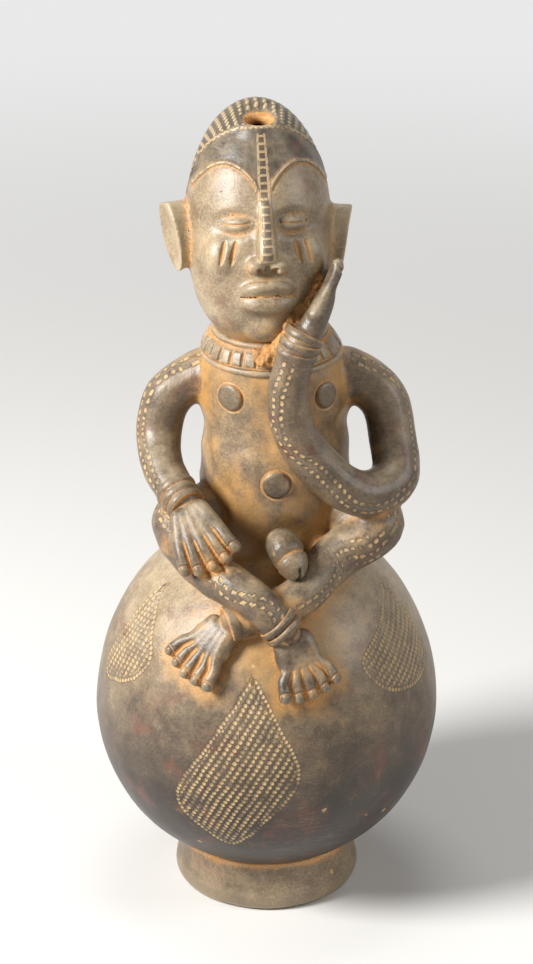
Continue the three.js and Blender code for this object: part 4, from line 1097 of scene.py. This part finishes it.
# Which piece each point belongs to, 0 being the head itself
label = np.zeros(len(points), dtype=int)
for index, side in ((1, -1), (2, 1)):
    own = np.abs(seen_from(points, ear_frames[side]))
    label[(side * x > 24) & (radial > 1.0) & (own[:, 1] < 13) & (own[:, 2] < 19)] = index
label[(y < 0) & (radial > 0.9) & (np.abs(x) < 9.6) & (z < BROW) & (z > NOSE_BASE - 2.6)] = 3
on_lips = (y < 0) & (radial > 1.2) & (np.abs(x) < 13)
label[on_lips & (z <= MOUTH + 6.2) & (z > MOUTH - 0.2)] = 4
label[on_lips & (z <= MOUTH - 0.2) & (z > MOUTH - 7.5)] = 5
for index, side in ((6, -1), (7, 1)):
    label[(y < 0) & (np.hypot((x - side * EYE) / 7.6, (z + 0.6) / 4.2) < 1)] = index
move_to(head, points @ head_turn.T + head_centre)
give(head, "lie", outwards(head))
loops, starts = corners(head)
owner = label[loops[starts]]
head_clay = clay_material("head_clay", brightness=0.54, dust=0.5, red=0.9, earth=0.95, strands=(HAIR_ROWS, 2.1), band=3.4)
ear_clay = clay_material("ear_clay", brightness=0.7, dust=0.6, red=0.3, earth=1.0)
for index, name in enumerate(("head", "right_ear", "left_ear", "nose", "upper_lip", "lower_lip", "right_eyelids",
                              "left_eyelids")):
    finish(share_out(head, owner, index), name, ear_clay if name in ("right_ear", "left_ear") else head_clay)

# Collar: a flat band laid on the slope of the shoulders between two rolled cords, with a row of square pads pressed
# up on it. It is luted to the torso, and earth fills the gaps between the pads.
COLLAR_LOW, COLLAR_HIGH, COLLAR_PADS, CORD_RADIUS = 272.1, 279.6, 30, 1.5


def off_shoulder(height, distance):
    """A radius and height that lie off the slope of the shoulders by a distance."""
    fall = float(torso_radius(np.array(height + 0.5)) - torso_radius(np.array(height - 0.5)))
    size = math.hypot(fall, 1)
    return float(torso_radius(np.array(height))) + distance / size, height - fall / size * distance


slope_levels = np.linspace(COLLAR_LOW - 0.4, COLLAR_HIGH + 0.4, 18)
outer = [off_shoulder(level, 1.5) for level in slope_levels]
inner = [off_shoulder(level, -1.0) for level in slope_levels[::-6]]
band = spun(outer + inner + [outer[0]], COLLAR_PADS * 18, "collar_band")
points = places(band)
turns = np.arctan2(points[:, 1], points[:, 0]) / FULL_TURN * COLLAR_PADS
number = np.round(turns).astype(int) % COLLAR_PADS
uneven = np.random.default_rng(5).uniform(-1, 1, (COLLAR_PADS, 3))[number]
u = (turns - np.round(turns)) + uneven[:, 0] * 0.03
v = (points[:, 2] - COLLAR_LOW - 0.6) / (COLLAR_HIGH - COLLAR_LOW) - 0.5 + uneven[:, 1] * 0.03
outside = np.hypot(points[:, 0], points[:, 1]) > torso_radius(points[:, 2]) + 0.4
pad = soft_step((0.42 + uneven[:, 2] * 0.03 - np.abs(u)) / 0.09) * soft_step((0.44 - np.abs(v)) / 0.1) * outside
points[:, :2] *= (1 + pad * (1.25 + 0.3 * uneven[:, 1]) / 31)[:, None]
move_to(band, points)
follow_torso(band)
press(band, 0.12, 9, 32)
find_hollows(band, depth=0.7, passes=4, joints=soft_step((0.3 - pad) / 0.25) * outside * 0.65)
give(band, "shade", 0.06 * pad)
collar_clay = clay_material("collar_clay", brightness=0.6, dust=0.6, red=0.2, earth=1.0)
finish(band, "collar_band", collar_clay)
for name, height in (("collar_upper_cord", COLLAR_HIGH + 1.5), ("collar_lower_cord", COLLAR_LOW - 1.7)):
    radius, level = off_shoulder(height, CORD_RADIUS * 0.55)
    ring = [(radius + CORD_RADIUS * math.cos(a), level + CORD_RADIUS * math.sin(a)) for a in np.linspace(0, FULL_TURN, 17)[:-1]]
    cord = spun(ring + [ring[0]], 150, name)
    follow_torso(cord)
    press(cord, 0.16, 12, 31)
    find_hollows(cord, joints=0.22 + 0.25 * ripple(places(cord), 14, 33))
    finish(cord, name, collar_clay)

# Breasts and navel: round pellets pressed flat on the torso, each inside a scored ring that holds pale earth.
disc_clay = clay_material("disc_clay", brightness=0.5, dust=0.45, red=0.3, earth=0.9)


def facing_at(place):
    """The direction that the torso faces at a place."""
    gaps = off_torso(np.array(place) + np.vstack([np.eye(3), -np.eye(3)]) * 0.5)
    return unit(gaps[:3] - gaps[3:])


def aimed(points, way):
    """Turns points from the upward direction to another."""
    return points @ np.array(Vector(way).to_track_quat("Z", "Y").to_matrix()).T


face = soft_line([(0.0, -3.0), (6.1, -3.0), (6.35, 0.2), (6.0, 0.95), (5.2, 1.4), (4.0, 1.62), (2.6, 1.78), (1.2, 1.86),
                  (0.0, 1.9)], 46)
for index, (name, (place, size)) in enumerate(DISCS.items()):
    pellet = spun([tuple(p) for p in face][:-1] + [(0.0, 1.9)], 72, name)
    points = places(pellet) * size
    from_middle = np.hypot(points[:, 0], points[:, 1]) / size
    away = Vector(facing_at(place))
    seat = float(off_torso(np.array([place]))[0])
    move_to(pellet, aimed(points, away) + np.array(place) - np.array(away) * (seat + 0.1))
    press(pellet, 0.22, 9, 40 + index)
    find_hollows(pellet, depth=0.25, passes=5, joints=soft_step((from_middle - 5.9) / 0.5) * 0.8)
    give(pellet, "shade", np.full(len(points), -0.04))
    finish(pellet, name, disc_clay)

# Bracelets and anklets: strips of clay wrapped round the wrists and ankles and pressed flat. Earth lies between them.
# (place, direction along the limb, radius, width, height) in millimetres
WRAPS = {
    "right_bracelet_1": ((-36.6, -35.1, 209.5), (.53, -.76, -.38), 8.5, 3.7, 1.1),
    "right_bracelet_2": ((-38.8, -31.9, 211.2), (.49, -.77, -.40), 8.7, 3.7, 1.1),
    "right_bracelet_3": ((-40.8, -28.6, 212.9), (.46, -.79, -.40), 8.9, 3.7, 1.1),
    "left_bracelet_1": ((16.5, -40.2, 293.4), (.47, .24, .85), 8.5, 3.7, 1.2),
    "left_bracelet_2": ((14.8, -40.9, 289.7), (.34, .10, .93), 8.6, 3.8, 1.2),
    "left_bracelet_3": ((13.4, -41.1, 285.7), (.30, .01, .95), 8.7, 3.7, 1.2),
    "right_anklet_1": ((7.8, -63.9, 160.8), (.69, -.11, -.72), 8.5, 2.7, 1.7),
    "right_anklet_2": ((4.9, -63.5, 163.8), (.69, -.10, -.72), 8.7, 2.7, 1.7),
    "left_anklet_1": ((-15.6, -58.3, 161.1), (-.92, -.32, -.23), 8.2, 4.8, 1.2),
}
wrap_clay = clay_material("wrap_clay", brightness=0.46, dust=0.5, red=0.25, earth=1.0)
for index, (name, (place, way, radius, width, rise)) in enumerate(WRAPS.items()):
    half, low, high = width / 2, radius - 2.2, radius + rise - 0.6
    section = soft_line([(low, -half), (high - 0.5, -half), (high, -half + 0.7), (high + 0.2, 0), (high, half - 0.7),
                         (high - 0.5, half), (low, half)], 26)
    section = [tuple(p) for p in section]
    strip = spun(section + [section[0]], 96, name)
    points = places(strip)
    edge = np.abs(points[:, 2]) / half
    move_to(strip, aimed(points, way) + np.array(place))
    press(strip, 0.24, 13, 50 + index)
    find_hollows(strip, depth=0.2, passes=4, joints=0.85 * soft_step((edge - 0.76) / 0.2))
    finish(strip, name, wrap_clay)

# Phallus: a short roll luted between the thighs, its end rounded, ridged round and cut with a slit.
root, way = np.array((2.0, -31.9, 195.6)), unit((.42, -.72, -.5))
line = np.array([root + way * s + np.array((0, 0, 2.2)) * math.sin(s / 30 * 3.14) for s in np.linspace(5, 29, 30)])
widths = np.interp(np.linspace(0, 1, 30), (0, 0.2, 0.45, 0.6, 0.66, 0.78, 0.9, 1), (5.0, 7.8, 8.6, 7.6, 7.7, 6.9, 5.2, 2.4))
shaft = fused([roll(line, widths, 8)], 0.5)
wipe(shaft, 8, keep=0.5)
points = places(shaft)
side = unit(np.cross(way, (0, 0, 1)))
across, ahead, above = ((points - root) @ axis for axis in (side, way, np.cross(side, way)))
ring = -0.7 * fading(ahead - 19.2 - across * 0.12, 1.0)
slit = -2.2 * fading(across, 0.75) * soft_step((ahead - 25) / 3) * (above < 6)
move_to(shaft, points + outwards(shaft) * (ring + slit)[:, None])
press(shaft, 0.2, 14, 61)
find_hollows(shaft, depth=0.3, passes=7, joints=held(held(-above / 6) * 0.9 + fading(ahead - 19.2, 1.2) * 0.5))
finish(shaft, "phallus", clay_material("shaft_clay", brightness=0.52, dust=0.45, red=0.8, earth=0.9))

# Clay at the raised wrist: rough soft clay pushed in between the hand, the jaw and the collar to fix them together.
lumps = [((1.5, -33.0, 281.0), (7.5, 4.5, 5.5)), ((6.5, -35.5, 285.0), (5.5, 4.5, 7)), ((8.5, -36.5, 291.0), (4.5, 4, 5)),
         ((12.0, -34.5, 295.0), (5.5, 4, 5.5)), ((15.5, -32.0, 301.0), (3.6, 4, 6)), ((19.0, -29.0, 305.5), (4.0, 4, 5)),
         ((22.6, -25.5, 312.0), (2.6, 4, 6))]
crumbs = fused([pebble(place, sizes) for place, sizes in lumps])
wipe(crumbs, 20)
for amount, wavelength, seed in ((0.9, 6.5, 71), (0.5, 3, 72), (0.25, 1.7, 73)):
    press(crumbs, amount, wavelength, seed)
find_hollows(crumbs, depth=0.6, passes=4, joints=0.8)
luting = clay_material("luting_clay", brightness=0.6, dust=0.2, red=0.6, earth=1.25, relief=1.2)
finish(crumbs, "wrist_clay", luting)

# The photograph's camera, and plain soft studio light over a pale floor
CAMERA_AIM, LIGHT_AIM, FOCAL_PIXELS, PICTURE_PIXELS, SENSOR = 0.2041, 0.2, 3702, 964, 36
BACKDROP = srgb(228, 228, 228)


def stand(name, data, place, aim):
    """Puts a camera or lamp in the scene, aimed at a place."""
    made = bpy.data.objects.new(name, data)
    made.location = place
    made.rotation_euler = (Vector(aim) - Vector(place)).to_track_quat("-Z", "Y").to_euler()
    bpy.context.scene.collection.objects.link(made)
    return made


def not_lighting(tree):
    """1 for rays that look at the backdrop, straight or by a reflection, and 0 for rays that gather light."""
    rays = put(tree, "LightPath").outputs
    straight = Value(rays["Is Camera Ray"]).maths("MAXIMUM", Value(rays["Is Transmission Ray"]))
    return straight.maths("MAXIMUM", Value(rays["Is Glossy Ray"]))


camera_data = bpy.data.cameras.new("camera")
camera_data.sensor_fit, camera_data.sensor_width = "AUTO", SENSOR
camera_data.lens = FOCAL_PIXELS / PICTURE_PIXELS * SENSOR
bpy.context.scene.camera = stand("camera", camera_data, (0, -1.5407, 0.9226), (0, 0, CAMERA_AIM))

pale = bpy.data.materials.new("pale_floor")
pale.use_nodes = True
surface = pale.node_tree.nodes["Principled BSDF"]
surface.inputs["Roughness"].default_value = 0.9
surface.inputs["Emission Color"].default_value = BACKDROP
place = take(pale.node_tree, "TexCoord", "Object")
far = between(take(pale.node_tree, "VectorMath", "Value", {0: place}, operation="LENGTH"), 0.4, 1.3)
pale.node_tree.links.new(blend(far, srgb(222, 220, 216), (0, 0, 0, 1)).socket, surface.inputs["Base Color"])
pale.node_tree.links.new((far * not_lighting(pale.node_tree)).socket, surface.inputs["Emission Strength"])
bm = bmesh.new()
bmesh.ops.create_circle(bm, cap_ends=True, segments=96, radius=14)
floor = bpy.data.objects.new("floor", mesh_of(bm, "floor"))
floor.data.materials.append(pale)
bpy.context.scene.collection.objects.link(floor)

for name, place, aim, size, power in (("left_softbox", (-1.05, -0.55, 0.95), (0, 0, LIGHT_AIM), 0.5, 37),
                                      ("right_softbox", (1.15, -0.35, 0.8), (0, 0, 0.22), 0.5, 5.5),
                                      ("top_softbox", (0, 0.3, 1.5), (0, 0, LIGHT_AIM), 0.7, 5)):
    lamp = bpy.data.lights.new(name, "AREA")
    lamp.shape, lamp.size, lamp.energy = "DISK", size, power
    stand(name, lamp, place, aim)
room = bpy.data.worlds.new("room")
room.use_nodes = True
background = room.node_tree.nodes["Background"]
background.inputs["Color"].default_value = BACKDROP
strength = put(room.node_tree, "Math", {0: not_lighting(room.node_tree), 1: 0.78, 2: 0.22}, operation="MULTIPLY_ADD")
room.node_tree.links.new(strength.outputs[0], background.inputs["Strength"])
bpy.context.scene.world = room
bpy.context.scene.view_settings.view_transform = "Standard"

bpy.context.view_layer.update()
